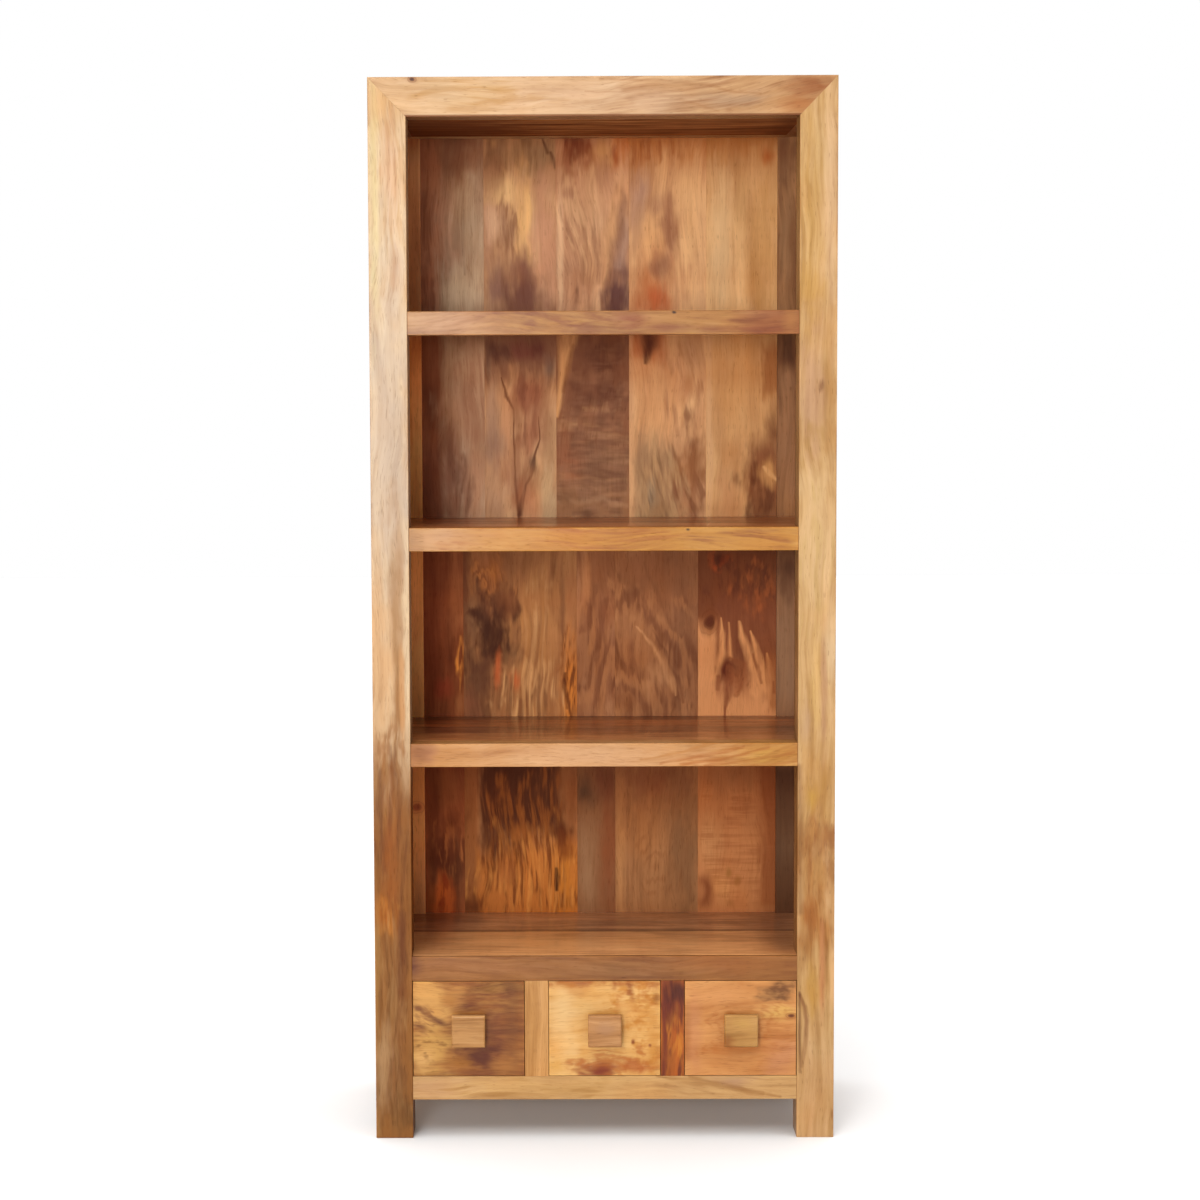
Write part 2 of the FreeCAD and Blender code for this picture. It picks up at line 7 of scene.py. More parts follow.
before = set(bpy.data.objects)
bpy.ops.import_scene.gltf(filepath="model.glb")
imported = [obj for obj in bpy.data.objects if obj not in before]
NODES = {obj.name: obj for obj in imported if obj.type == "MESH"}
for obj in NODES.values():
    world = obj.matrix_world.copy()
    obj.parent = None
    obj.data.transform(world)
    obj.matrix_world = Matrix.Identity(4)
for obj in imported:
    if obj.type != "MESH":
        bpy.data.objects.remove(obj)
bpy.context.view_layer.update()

# --------------------------------------------------------------------------
# The camera, fitted to the straight edges of the furniture in the photograph.
# It comes first because the marks in the wood are placed in its picture.
# --------------------------------------------------------------------------
YF = -0.188                                   # front plane of the carcass
F_PX, CX, CY = 2605.8, 534.8, 600.0           # focal length and centre, in pixels of 1200
EYE = Vector((-0.0866, YF - 4.4759, 1.2937))
pitch, yaw, roll = math.radians(4.458), math.radians(-0.411), math.radians(-0.232)
_right = Vector((math.cos(yaw), -math.sin(yaw), 0.0))
_flat = Vector((math.sin(yaw), math.cos(yaw), 0.0))
_down = Vector((0, 0, 1)) * math.sin(pitch)
FWD = _flat * math.cos(pitch) - _down
_up = _flat * math.sin(pitch) + Vector((0, 0, 1)) * math.cos(pitch)
RIGHT = _right * math.cos(roll) + _up * math.sin(roll)
UP = _up * math.cos(roll) - _right * math.sin(roll)


def look(px, py, axis, at):
    """the point seen at a place in the picture, on the plane axis = at"""
    d = FWD + RIGHT * ((px - CX) / F_PX) - UP * ((py - CY) / F_PX)
    i = "xyz".index(axis)
    return EYE + d * ((at - EYE[i]) / d[i])


# --------------------------------------------------------------------------
# A small language for shader graphs: S is a socket, numbers mix in freely.
# --------------------------------------------------------------------------


class S:
    def __init__(self, g, sock):
        self.g, self.sock = g, sock

    def __add__(self, o): return self.g.m("ADD", self, o)
    def __radd__(self, o): return self.g.m("ADD", o, self)
    def __sub__(self, o): return self.g.m("SUBTRACT", self, o)
    def __rsub__(self, o): return self.g.m("SUBTRACT", o, self)
    def __mul__(self, o): return self.g.m("MULTIPLY", self, o)
    def __rmul__(self, o): return self.g.m("MULTIPLY", o, self)
    def __truediv__(self, o): return self.g.m("DIVIDE", self, o)
    def __neg__(self): return self.g.m("MULTIPLY", self, -1.0)


class Graph:
    def __init__(self, name):
        self.mat = bpy.data.materials.new(name)
        self.mat.use_nodes = True
        self.t = self.mat.node_tree
        self.t.nodes.clear()
        self.out = self.t.nodes.new("ShaderNodeOutputMaterial")
        tc = self.t.nodes.new("ShaderNodeTexCoord")
        self.obj = tc.outputs["Object"]
        sep = self.t.nodes.new("ShaderNodeSeparateXYZ")
        self.t.links.new(self.obj, sep.inputs[0])
        self.x, self.y, self.z = (S(self, o) for o in sep.outputs)
        self.p = S(self, self.obj)

    def put(self, v, inp):
        if isinstance(v, S):
            self.t.links.new(v.sock, inp)
        elif isinstance(v, (tuple, list)) and inp.type == "RGBA":
            inp.default_value = tuple(v)[:3] + (1.0,)
        elif isinstance(v, (tuple, list)):
            inp.default_value = tuple(v)[:3]
        else:
            inp.default_value = v

    def m(self, op, a, b=None, c=None, clamp=False):
        n = self.t.nodes.new("ShaderNodeMath")
        n.operation, n.use_clamp = op, clamp
        for i, v in enumerate((a, b, c)):
            if v is not None:
                self.put(v, n.inputs[i])
        return S(self, n.outputs[0])

    def clamp(self, v): return self.m("ADD", v, 0.0, clamp=True)
    def sqrt(self, v): return self.m("SQRT", v)
    def fract(self, v): return self.m("FRACT", v)
    def absv(self, v): return self.m("ABSOLUTE", v)
    def mn(self, a, b): return self.m("MINIMUM", a, b)
    def mx(self, a, b): return self.m("MAXIMUM", a, b)
    def pw(self, a, b): return self.m("POWER", a, b)
    def sin(self, a): return self.m("SINE", a)

    def ss(self, v, a, b, lo=0.0, hi=1.0):
        """smooth step of v from a to b, giving lo to hi"""
        n = self.t.nodes.new("ShaderNodeMapRange")
        n.interpolation_type = "SMOOTHSTEP"
        flip = a > b
        if flip:
            a, b, lo, hi = b, a, hi, lo
        self.put(v, n.inputs[0])
        n.inputs[1].default_value, n.inputs[2].default_value = a, b
        n.inputs[3].default_value, n.inputs[4].default_value = lo, hi
        return S(self, n.outputs[0])

    def vec(self, a, b, c):
        n = self.t.nodes.new("ShaderNodeCombineXYZ")
        for i, v in enumerate((a, b, c)):
            self.put(v, n.inputs[i])
        return S(self, n.outputs[0])

    def vm(self, op, a, b=None, c=None):
        n = self.t.nodes.new("ShaderNodeVectorMath")
        n.operation = op
        for i, v in enumerate((a, b, c)):
            if v is not None:
                self.put(v, n.inputs[i])
        return S(self, n.outputs["Value" if op == "LENGTH" else "Vector"])

    def at(self, v, scale, off=(0.0, 0.0, 0.0)):
        """a vector scaled and moved"""
        return self.vm("MULTIPLY_ADD", v, scale, off)

    def noise(self, v, scale=(1.0, 1.0, 1.0), off=(0.0, 0.0, 0.0), detail=2.0, rough=0.5, distort=0.0, out="Fac"):
        n = self.t.nodes.new("ShaderNodeTexNoise")
        n.noise_dimensions = "3D"
        self.put(self.at(v, scale, off), n.inputs["Vector"])
        n.inputs["Scale"].default_value = 1.0
        n.inputs["Detail"].default_value = detail
        n.inputs["Roughness"].default_value = rough
        n.inputs["Distortion"].default_value = distort
        return S(self, n.outputs[out])

    def mix(self, f, a, b, kind="MIX"):
        n = self.t.nodes.new("ShaderNodeMix")
        n.data_type, n.blend_type = "RGBA", kind
        self.put(f, n.inputs[0])
        self.put(a, n.inputs[6])
        self.put(b, n.inputs[7])
        return S(self, n.outputs[2])

    def ramp(self, f, stops):
        n = self.t.nodes.new("ShaderNodeValToRGB")
        e = n.color_ramp.elements
        while len(e) > 1:
            e.remove(e[-1])
        e[0].position, e[0].color = stops[0][0], tuple(stops[0][1]) + (1.0,)
        for p, c in stops[1:]:
            k = e.new(p)
            k.color = tuple(c) + (1.0,)
        self.put(f, n.inputs[0])
        return S(self, n.outputs[0])

    def bump(self, h, strength, distance):
        n = self.t.nodes.new("ShaderNodeBump")
        n.inputs["Strength"].default_value = strength
        n.inputs["Distance"].default_value = distance
        self.put(h, n.inputs["Height"])
        return S(self, n.outputs[0])


def srgb(r, g, b):
    def f(c):
        c /= 255.0
        return c / 12.92 if c <= 0.04045 else ((c + 0.055) / 1.055) ** 2.4
    return (f(r), f(g), f(b))


# --------------------------------------------------------------------------
# Colours of this wood as they look under the lacquer in the light of the
# picture; unlit() takes the light (E) and the sheen (s) out again.
# --------------------------------------------------------------------------
# The levels E are set board by board and, in rows, by height; the colours unlit() gives therefore still carry some
# painted light and shade.
CREAM = (240, 210, 168)
PALE = (230, 206, 176)
PEACH = (234, 188, 142)
SAND = (222, 180, 130)
TAN = (205, 158, 112)
GOLD = (216, 166, 98)
YELLOW = (226, 182, 98)
HONEY = (200, 140, 76)
ORANGE = (192, 112, 50)
FLAME = (208, 122, 54)
RUST = (158, 72, 32)
BROWN = (150, 98, 56)
REDBR = (128, 66, 36)
PINK = (196, 142, 108)
GREYTAN = (152, 122, 94)
GREYBR = (118, 86, 62)
UMBER = (100, 58, 36)
PURPLE = (94, 52, 38)
DARK = (62, 30, 16)
INK = (34, 15, 9)


def linear(c):
    return tuple(v / 255.0 / 12.92 if v / 255.0 <= 0.04045 else ((v / 255.0 + 0.055) / 1.055) ** 2.4 for v in c)


def unlit(c, lit, y=None):
    """lit is (E, s), or rows of (y in the picture, E, s); E may differ for red, green and blue"""
    if isinstance(lit[0], tuple) and len(lit[0]) == 3 and isinstance(lit[1], tuple):
        y = lit[0][0] if y is None else min(max(y, lit[0][0]), lit[-1][0])
        for (y0, e0, s0), (y1, e1, s1) in zip(lit, lit[1:]):
            if y <= y1:
                k = (y - y0) / (y1 - y0)
                lit = (tuple(p + (q - p) * k for p, q in zip(three(e0), three(e1))), s0 + (s1 - s0) * k)
                break
    E, s = three(lit[0]), lit[1]
    c = tuple(max(0.003 + 0.002 * (2 - i), (v - s) / E[i], 0.4 * v / E[i]) for i, v in enumerate(linear(c)))
    k = min(1.0, 0.9 / max(c))          # no wood is brighter than this: keep the hue
    return tuple(v * k for v in c)


def three(e):
    return e if isinstance(e, tuple) else (e, e, e)


FRONT = ("y", YF)
KNOB = ("y", -0.212)
BACK = ("y", 0.199)
STRIP = ("y", 0.189)
L_POST = ((100, (1.77, 1.76, 1.66), 0.062), (400, (1.84, 1.84, 1.66), 0.078), (600, (1.88, 1.95, 1.97), 0.055),
          (800, (2.25, 2.50, 3.00), 0.032), (1020, (1.68, 1.50, 1.42), 0.020))
R_POST = ((200, (1.77, 1.72, 1.76), 0.039), (400, (1.79, 1.68, 1.47), 0.040), (600, (1.61, 1.49, 1.29), 0.040),
          (800, (1.90, 1.94, 2.02), 0.038), (1020, (1.73, 1.76, 1.88), 0.030))
L_TOP = (1.92, 0.054)


# --------------------------------------------------------------------------
# Marks in a board's figure. Places are in pixels of the picture, sizes too:
# (x, y, half width, half height).
# --------------------------------------------------------------------------
def Patch(x, y, rx, ry, colour, amount=0.85, soft=0.6, ragged=0.5, turn=0.0):
    return dict(kind="patch", at=(x, y), r=(rx, ry), colour=colour, amount=amount, soft=soft, ragged=ragged, turn=turn)


def Flecks(x, y, rx, ry, colour, amount=0.85, across=90.0, along=14.0, cut=0.56, soft=0.05, turn=0.0, edge=0.35):
    """streaks or spots of a colour inside an ellipse; across and along are noise scales per metre"""
    return dict(kind="flecks", at=(x, y), r=(rx, ry), colour=colour, amount=amount, across=across, along=along,
                cut=cut, soft=soft, lean=turn, edge=edge)


def spans(y0):
    """patches and flecks given by their sides, in quarter pixels from (405, y0)"""
    def patch(x0, x1, ya, yb, colour, amount=0.8, soft=0.6, ragged=0.4, turn=0.0):
        return Patch(405 + (x0 + x1) / 8.0, y0 + (ya + yb) / 8.0, (x1 - x0) / 8.0, (yb - ya) / 8.0, colour, amount,
                     soft, ragged, turn)

    def flecks(x0, x1, ya, yb, colour, amount=0.7, across=110.0, along=14.0, cut=0.53, soft=0.06, turn=0.0):
        return Flecks(405 + (x0 + x1) / 8.0, y0 + (ya + yb) / 8.0, (x1 - x0) / 8.0, (yb - ya) / 8.0, colour, amount,
                      across, along, cut, soft, turn)

    def line(points, colour, amount=0.9, wander=0.8, soft=0.5):
        return Line([(405 + x / 4.0, y0 + y / 4.0, w / 5.0) for x, y, w in points], colour, amount, wander, soft)

    def zone(x0, x1, ya, yb, colour, amount=0.85, sx=24, sy=40, ragged=0.5):
        return dict(kind="zone", at=(405 + (x0 + x1) / 8.0, y0 + (ya + yb) / 8.0), r=((x1 - x0) / 8.0, (yb - ya) / 8.0),
                    s=(sx / 4.0, sy / 4.0), colour=colour, amount=amount, ragged=ragged)
    return patch, flecks, line, zone


def Knot(x, y, rx, ry, core=DARK, ring=UMBER, reach=3.2, pull=0.75, amount=1.0, rings=1.0):
    return dict(kind="knot", at=(x, y), r=(rx, ry), core=core, ring=ring, reach=reach, pull=pull, amount=amount, rings=rings)


def Line(points, colour, amount=0.9, wander=1.2, soft=0.45):
    """a crack or a vein through points (x, y, half width), all in pixels"""
    return dict(kind="line", points=points, colour=colour, amount=amount, wander=wander, soft=soft)


def Shade(start, end, colour, amount=0.8, way="y", wander=8.0):
    """a change of colour from start to end, down (y) or across (x) the picture"""
    return dict(kind="shade", start=start, end=end, colour=colour, amount=amount, way=way, wander=wander)


def Arcs(x, y, rx, ry, colour, amount=0.5, step=6.0, squash=1.0, wobble=0.35, phase=0.0, centre=None):
    """growth rings round a point (the middle unless a centre is given), inside an ellipse"""
    return dict(kind="arcs", at=(x, y), r=(rx, ry), colour=colour, amount=amount, step=step, squash=squash, wobble=wobble,
                phase=phase, centre=centre or (x, y))


COUNT = [0]


def wood(name, grain="z", base=(SAND, TAN, BROWN), plane=FRONT, lit=(1.4, 0.03), streak=0.5, streak_scale=34.0,
         fibre=0.5, mottle=0.4, mottle_scale=16.0, rings=0.0, spacing=0.010, taper=0.05, centre=(0.0, 0.03),
         wander=1.0, tilt=0.0, bow=None, curl=0.0, curl_scale=60.0, rough=0.40, coat=0.1, coat_rough=0.2,
         spec=0.15, pores=0.3, marks=(), box=None, edge_wear_and_highlight=0.5, ends=None, face=None, tile=None, tone=0.6,
         base_y=None, tint=None, rear=None, fall=None, dims=()):
    g = Graph(name)
    COUNT[0] += 1
    rnd = random.Random(COUNT[0] * 7919)
    off = lambda: tuple(round(rnd.uniform(-40, 40), 3) for _ in range(3))
    px, pp = g.x, g.p
    if tile:
        # alike pieces on each drawer share a material: fold them onto one, with another cut of the wood for each
        no = g.m("ROUND", g.x * (1.0 / tile))
        px = g.x - no * tile
        pp = g.vec(px, g.y, g.z)
    flat = plane[0] == "z" or face == "xy"         # a horizontal board
    # a across the face, b into the board, l along the grain
    if flat:
        a0, b0, l0 = (g.y, g.z, px) if grain == "x" else (px, g.z, g.y)
    elif face == "yz":
        a0, b0, l0 = (g.y, px, g.z) if grain == "z" else (g.z, px, g.y)
    else:
        a0, b0, l0 = (px, g.y, g.z) if grain == "z" else (g.z, g.y, px)
    if tile:
        b0 = b0 + no * 0.7
    P0 = g.vec(a0, b0, l0)

    def al(px_, py_):
        v = look(px_, py_, *plane)
        if flat:
            return (v.y, v.x) if grain == "x" else (v.x, v.y)
        return (v.x, v.z) if grain == "z" else (v.z, v.x)

    def size(at, r):
        """half sizes in metres across and along, at a place"""
        c = al(*at)
        ex, ey = al(at[0] + r[0], at[1]), al(at[0], at[1] + r[1])
        dx = math.hypot(ex[0] - c[0], ex[1] - c[1])
        dy = math.hypot(ey[0] - c[0], ey[1] - c[1])
        vertical = (grain == "z") if not flat else (grain != "x")
        return (dx, dy) if vertical else (dy, dx)

    def col3(c, f=None):
        if f is None:
            y = base_y
        elif "points" in f:
            y = sum(q[1] for q in f["points"]) / len(f["points"])
        else:
            y = f["at"][1] if "at" in f else f["end"] if f["way"] == "y" else None
        return unlit(c, lit, y)

    light, mid, dark = (col3(c) for c in base)

    # the grain wanders, leans, and bends round the knots
    n1 = g.noise(P0, (7.0, 6.0, 3.4), off(), 2.0)
    n2 = g.noise(P0, (24.0, 20.0, 11.0), off(), 1.0)
    a = a0 + g.m("MULTIPLY_ADD", n1, 0.050 * wander, -0.025 * wander) + g.m("MULTIPLY_ADD", n2, 0.006 * wander, -0.003 * wander)
    if tilt:
        a = g.m("MULTIPLY_ADD", l0, -tilt, a)
    if bow:
        dl = l0 - bow[0]
        a = g.m("MULTIPLY_ADD", dl * dl, -bow[1], a)
    for f in marks:
        if f["kind"] == "knot":
            ca, cl = al(*f["at"])
            ra, rl = size(f["at"], f["r"])
            ra, rl = ra * f["reach"], rl * f["reach"]
            d = g.vm("LENGTH", g.at(P0, (1.0 / ra, 0.0, 1.0 / rl), (-ca / ra, 0.0, -cl / rl)))
            pull = g.m("DIVIDE", f["pull"], g.pw(d, 4.0) + 1.0)
            a = a - (a0 - ca) * pull
    if curl > 0:
        cn = g.noise(P0, (10.0, 10.0, curl_scale), off(), 1.0, 0.5, 0.5)
        a = g.m("MULTIPLY_ADD", cn, 0.006 * curl, a)
    P = g.vec(a, b0, l0)

    band = g.noise(P, (streak_scale, streak_scale, 5.0), off(), 2.0, 0.5)
    fib = g.noise(P, (210.0, 210.0, 11.0), off(), 2.0, 0.55)
    fine = g.noise(P, (620.0, 620.0, 20.0), off(), 1.0)
    pore = g.noise(P, (950.0, 950.0, 60.0), off(), 0.0)
    cloud = g.noise(P0, (mottle_scale, mottle_scale, mottle_scale * 0.55), off(), 3.0, 0.55)
    hue = g.noise(P0, (13.0, 10.0, 6.5), off(), 2.0, 0.5)
    rag = g.noise(P, (90.0, 40.0, 17.0), off(), 2.0, 0.55)
    W = g.at(g.noise(P0, (34.0, 20.0, 16.0), off(), 2.0, 0.55, 0.0, "Color"), (3.2, 0.0, 3.2), (-1.6, 0.0, -1.6))
    R = (rag - 0.5) * 2.4 + (fib - 0.5) * 1.0          # how the edges of marks fray

    t = (band - 0.5) * (3.0 * streak) + (fib - 0.5) * (0.7 * fibre) + (cloud - 0.5) * (3.0 * mottle) + 0.5
    col = g.ramp(g.clamp(t), [(0.0, light), (0.5, mid), (1.0, dark)])
    if curl > 0:
        col = g.mix(g.ss(cn, 0.44, 0.62, 0.0, 0.22 * min(1.0, curl)), col, tuple(c * 0.6 for c in mid))
    late = None
    if rings > 0:
        # growth rings about a pith that lies beside or behind the face
        q = g.vm("LENGTH", g.at(P, (1.0, 1.0, 0.0), (-centre[0], -(plane[1] + centre[1]), 0.0)))
        r = g.m("MULTIPLY_ADD", l0, taper, q) + (rag - 0.5) * (spacing * 0.5)
        ph = g.fract(r * (1.0 / spacing) + 7.3)
        late = g.ss(ph, 0.15, 0.90) * g.ss(ph, 1.0, 0.90)
        rm = g.noise(g.vec(r, b0, l0), (0.4 / spacing, 2.0, 3.0), off(), 1.0)
        late = late * g.ss(rm, 0.25, 0.7)
        col = g.mix(late * rings, col, tuple(c * 0.6 for c in dark))

    def around(f, warp=1.0):
        """0 at the middle of a mark, 1 at its edge, in a warped space"""
        ca, cl = al(*f["at"])
        ra, rl = size(f["at"], f["r"])
        if f.get("turn"):
            v = g.at(P0, (1.0, 0.0, 1.0), (-ca, 0.0, -cl))
            n = g.t.nodes.new("ShaderNodeVectorRotate")
            n.rotation_type = "Y_AXIS"
            g.put(v, n.inputs["Vector"])
            n.inputs["Angle"].default_value = f["turn"]
            v = g.at(S(g, n.outputs[0]), (1.0 / ra, 0.0, 1.0 / rl))
        else:
            v = g.at(P0, (1.0 / ra, 0.0, 1.0 / rl), (-ca / ra, 0.0, -cl / rl))
        if warp:
            v = g.vm("ADD", v, W if warp == 1.0 else g.at(W, (warp, 0.0, warp)))
        return v

    for f in marks:
        k = f["kind"]
        if k == "patch":
            edge = g.m("MULTIPLY_ADD", R, f["ragged"], g.vm("LENGTH", around(f, min(1.0, 1.3 * f["ragged"]))))
            so = min(0.95, 1.45 * f["soft"])
            col = g.mix(g.ss(edge, 1.0 + 0.8 * so, 1.0 - so, 0.0, f["amount"]), col, col3(f["colour"], f))
        elif k == "zone":
            # a soft-edged rectangle
            ca, cl = al(*f["at"])
            ra, rl = size(f["at"], f["r"])
            sa, sl = size(f["at"], f["s"])
            v = g.vm("ABSOLUTE", g.at(P0, (1.0, 0.0, 1.0), (-ca, 0.0, -cl)))
            v = g.vm("ADD", g.at(v, (-1.0 / sa, 0.0, -1.0 / sl), (ra / sa, 9.0, rl / sl)), g.at(W, (0.6, 0.0, 0.6)))
            n = g.t.nodes.new("ShaderNodeSeparateXYZ")
            g.put(v, n.inputs[0])
            q = g.m("MULTIPLY_ADD", R, f["ragged"], g.mn(S(g, n.outputs[0]), S(g, n.outputs[2])))
            col = g.mix(g.ss(q, -1.0, 1.0, 0.0, f["amount"]), col, col3(f["colour"], f))
        elif k == "flecks":
            where = P
            if f["lean"]:
                n = g.t.nodes.new("ShaderNodeVectorRotate")
                n.rotation_type = "Y_AXIS"
                g.put(P, n.inputs["Vector"])
                n.inputs["Angle"].default_value = f["lean"]
                where = S(g, n.outputs[0])
            fn = g.noise(where, (f["across"], 40.0, f["along"]), off(), 2.0, 0.55)
            mask = g.ss(fn, f["cut"] - 1.8 * f["soft"], f["cut"] + 1.8 * f["soft"])
            d = g.m("MULTIPLY_ADD", R, 0.3, g.vm("LENGTH", around(f)))
            mask = mask * g.ss(d, 1.0 + f["edge"], 1.0 - f["edge"], 0.0, f["amount"])
            col = g.mix(mask, col, col3(f["colour"], f))
        elif k == "arcs":
            ca, cl = al(*f["centre"])
            st = size(f["at"], (f["step"], f["step"]))[0]
            q = g.vm("LENGTH", g.at(P0, (1.0, 0.0, f["squash"]), (-ca, 0.0, -cl * f["squash"])))
            q = q + (rag - 0.5) * (st * 4.0 * f["wobble"]) + (hue - 0.5) * (st * 3.0)
            w = g.sin(g.m("MULTIPLY_ADD", q, 2.0 * math.pi / st, 2.0 * math.pi * f["phase"]))
            mask = g.ss(w, -0.4, 1.0) * g.ss(g.vm("LENGTH", around(f)), 1.15, 0.6, 0.0, f["amount"]) * g.ss(fib, 0.30, 0.60, 0.45, 1.0)
            col = g.mix(mask, col, col3(f["colour"], f))
        elif k == "shade":
            down = f["way"] == "y"
            p0 = al(500.0, f["start"]) if down else al(f["start"], 600.0)
            p1 = al(500.0, f["end"]) if down else al(f["end"], 600.0)
            i = (1 if grain == "z" else 0) if down else (0 if grain == "z" else 1)
            v = l0 if i else a0
            wn = size((500.0, 600.0), (f["wander"], f["wander"]))[0]
            v = v + R * (wn * 0.8) + (band - 0.5) * (wn * 2.0)
            col = g.mix(g.ss(v, p0[i], p1[i], 0.0, f["amount"]), col, col3(f["colour"], f))
        elif k == "line":
            wn = size(f["points"][0][:2], (f["wander"], f["wander"]))[0]
            aw = g.m("MULTIPLY_ADD", n2, wn * 6.0, a0 - wn * 3.0) + (rag - 0.5) * (wn * 4.0)
            lw = g.m("MULTIPLY_ADD", cloud, wn * 8.0, l0 - wn * 4.0)
            best = None
            pts = [al(p[0], p[1]) + (size(p[:2], (p[2], p[2]))[0],) for p in f["points"]]
            for (pa, pl, pw), (qa, ql, qw) in zip(pts, pts[1:]):
                ea, el = qa - pa, ql - pl
                L2 = ea * ea + el * el
                u, v = aw - pa, lw - pl
                h = g.clamp(g.m("MULTIPLY_ADD", u, ea / L2, v * (el / L2)))
                du, dv = g.m("MULTIPLY_ADD", h, -ea, u), g.m("MULTIPLY_ADD", h, -el, v)
                q = g.sqrt(g.m("MULTIPLY_ADD", du, du, dv * dv)) / g.m("MULTIPLY_ADD", h, qw - pw, pw)
                best = q if best is None else g.mn(best, q)
            best = g.m("MULTIPLY_ADD", R, 0.45, best)
            mask = g.ss(best, 1.9 + f["soft"], 0.8 - f["soft"], 0.0, f["amount"]) * g.ss(rag, 0.30, 0.58, 0.55, 1.0)
            col = g.mix(mask, col, col3(f["colour"], f))
    for f in marks:
        if f["kind"] == "knot":
            d = g.vm("LENGTH", around(f, 0.35)) + (rag - 0.5) * 1.6
            am = f["amount"]
            core, ring = col3(f["core"], f), col3(f["ring"], f)
            col = g.mix(g.ss(d, 2.4, 0.9, 0.0, 0.7 * am), col, ring)
            if f["rings"]:
                col = g.mix(g.ss(g.sin(d * 9.0), 0.1, 0.9) * g.ss(d, 2.4, 1.2, 0.0, 0.4 * am * f["rings"]), col, core)
            col = g.mix(g.ss(d, 1.15, 0.5, 0.0, 0.95 * am), col, core)

    # a slow change of hue, then fibres and pores over everything
    if tint:
        col = g.mix(1.0, col, tint, "MULTIPLY")
    if fall:
        # less light at the head of each bay and more at its foot, redder where there is less:
        # rows of (y in the picture, level, and optionally how much redder)
        rows = [(al(600.0, r[0])[1], r[1], r[2] if len(r) > 2 else 1.5) for r in fall]
        z0, z1, top = rows[0][0], rows[-1][0], max(r[1] for r in rows)
        redder = lambda f, k: (f, f ** k, f ** (k + (0.4 if k > 1 else 0.0)))
        peak = redder(top, 1.5)
        u = g.m("MULTIPLY_ADD", g.z, -1.0 / (z0 - z1), z0 / (z0 - z1))
        col = g.mix(1.0, col, g.ramp(g.clamp(u), [((z0 - z) / (z0 - z1), tuple(p / q for p, q in zip(redder(f, k), peak)))
                                                  for z, f, k in rows]), "MULTIPLY")
        col = g.mix(1.0, col, peak, "MULTIPLY")
    for axis, d0, d1, f in dims:
        # a face or an edge that the light misses
        v = g.absv(g.x) if axis == "x" else g.z
        col = g.mix(g.ss(v, d0, d1), col, f, "MULTIPLY")
    if rear:
        # the faces turned away from the picture: the same board, without its marks
        way, r0, r1, rb, rl_ = rear
        rc = [unlit(c, rl_) for c in rb]
        col = g.mix(g.ss(g.y if way == "y" else g.absv(g.x), r0, r1), col,
                    g.ramp(g.clamp(t), [(0.0, rc[0]), (0.5, rc[1]), (1.0, rc[2])]))
    col = g.mix(g.ss(hue, 0.52, 0.74, 0.0, 0.8 * tone), col, (1.07, 0.96, 0.80), "MULTIPLY")
    col = g.mix(g.ss(hue, 0.48, 0.28, 0.0, 0.8 * tone), col, (0.92, 0.97, 1.04), "MULTIPLY")
    col = g.mix(g.ss(band, 0.44, 0.66, 0.0, 0.35 * streak), col, (0.74, 0.68, 0.62), "MULTIPLY")
    col = g.mix(g.ss(band, 0.50, 0.30, 0.0, 0.35 * streak), col, (1.16, 1.13, 1.08), "MULTIPLY")
    col = g.mix(g.ss(fib, 0.44, 0.72, 0.0, 0.50 * fibre), col, (0.74, 0.66, 0.58), "MULTIPLY")
    col = g.mix(g.ss(fib, 0.46, 0.24, 0.0, 0.50 * fibre), col, (1.16, 1.13, 1.08), "MULTIPLY")
    col = g.mix(g.ss(fine, 0.50, 0.74, 0.0, 0.18), col, (0.62, 0.54, 0.48), "MULTIPLY")
    pm = g.ss(pore, 0.68, 0.75)
    col = g.mix(pm * pores, col, (0.36, 0.28, 0.22), "MULTIPLY")

    rg = (fib - 0.5) * 0.18 + (cloud - 0.5) * 0.14 + g.m("MULTIPLY_ADD", pm, 0.18, rough)
    if box is not None and edge_wear_and_highlight > 0:
        # wear, partly painted highlight: the lacquer is thinner on the arrises, the wood under it paler and duller
        # there; the paleness also stands in for the light the arrises catch
        lo, hi = box
        near = g.vm("MINIMUM", g.vm("SUBTRACT", pp, tuple(lo)), g.vm("SUBTRACT", tuple(hi), pp))
        sp = g.t.nodes.new("ShaderNodeSeparateXYZ")
        g.put(near, sp.inputs[0])
        ds = [S(g, o) for o in sp.outputs]
        mid_d = g.mx(g.mn(ds[0], ds[1]), g.mn(g.mx(ds[0], ds[1]), ds[2]))
        wn = mid_d + (cloud - 0.5) * 0.006 + (fine - 0.5) * 0.003
        wm = g.ss(wn, 0.0030, 0.0004)
        col = g.mix(wm * (0.55 * edge_wear_and_highlight), col, (1.22, 1.18, 1.12), "MULTIPLY")
        rg = g.m("MULTIPLY_ADD", wm, 0.14 * edge_wear_and_highlight, rg)
        if ends:
            # darker within the last few millimetres at the ends where the piece meets another one
            jm = g.ss(g.m("MULTIPLY_ADD", fine, 0.0012, ds["xyz".index(ends)]), 0.0028, 0.0008)
            col = g.mix(jm * 0.5, col, (0.50, 0.40, 0.32), "MULTIPLY")

    p = g.t.nodes.new("ShaderNodeBsdfPrincipled")
    g.put(col, p.inputs["Base Color"])
    g.put(g.clamp(rg), p.inputs["Roughness"])
    p.inputs["Specular IOR Level"].default_value = spec
    p.inputs["Coat Weight"].default_value = coat
    p.inputs["Coat Roughness"].default_value = coat_rough
    p.inputs["Coat IOR"].default_value = 1.48
    hgt = fib * 0.6 + fine * 0.3 - pm * 0.8 + cloud * 0.5
    if late is not None:
        hgt = hgt - late * 0.3
    g.put(g.bump(hgt, 0.30, 0.0004), p.inputs["Normal"])
    g.t.links.new(p.outputs[0], g.out.inputs[0])
    return g.mat


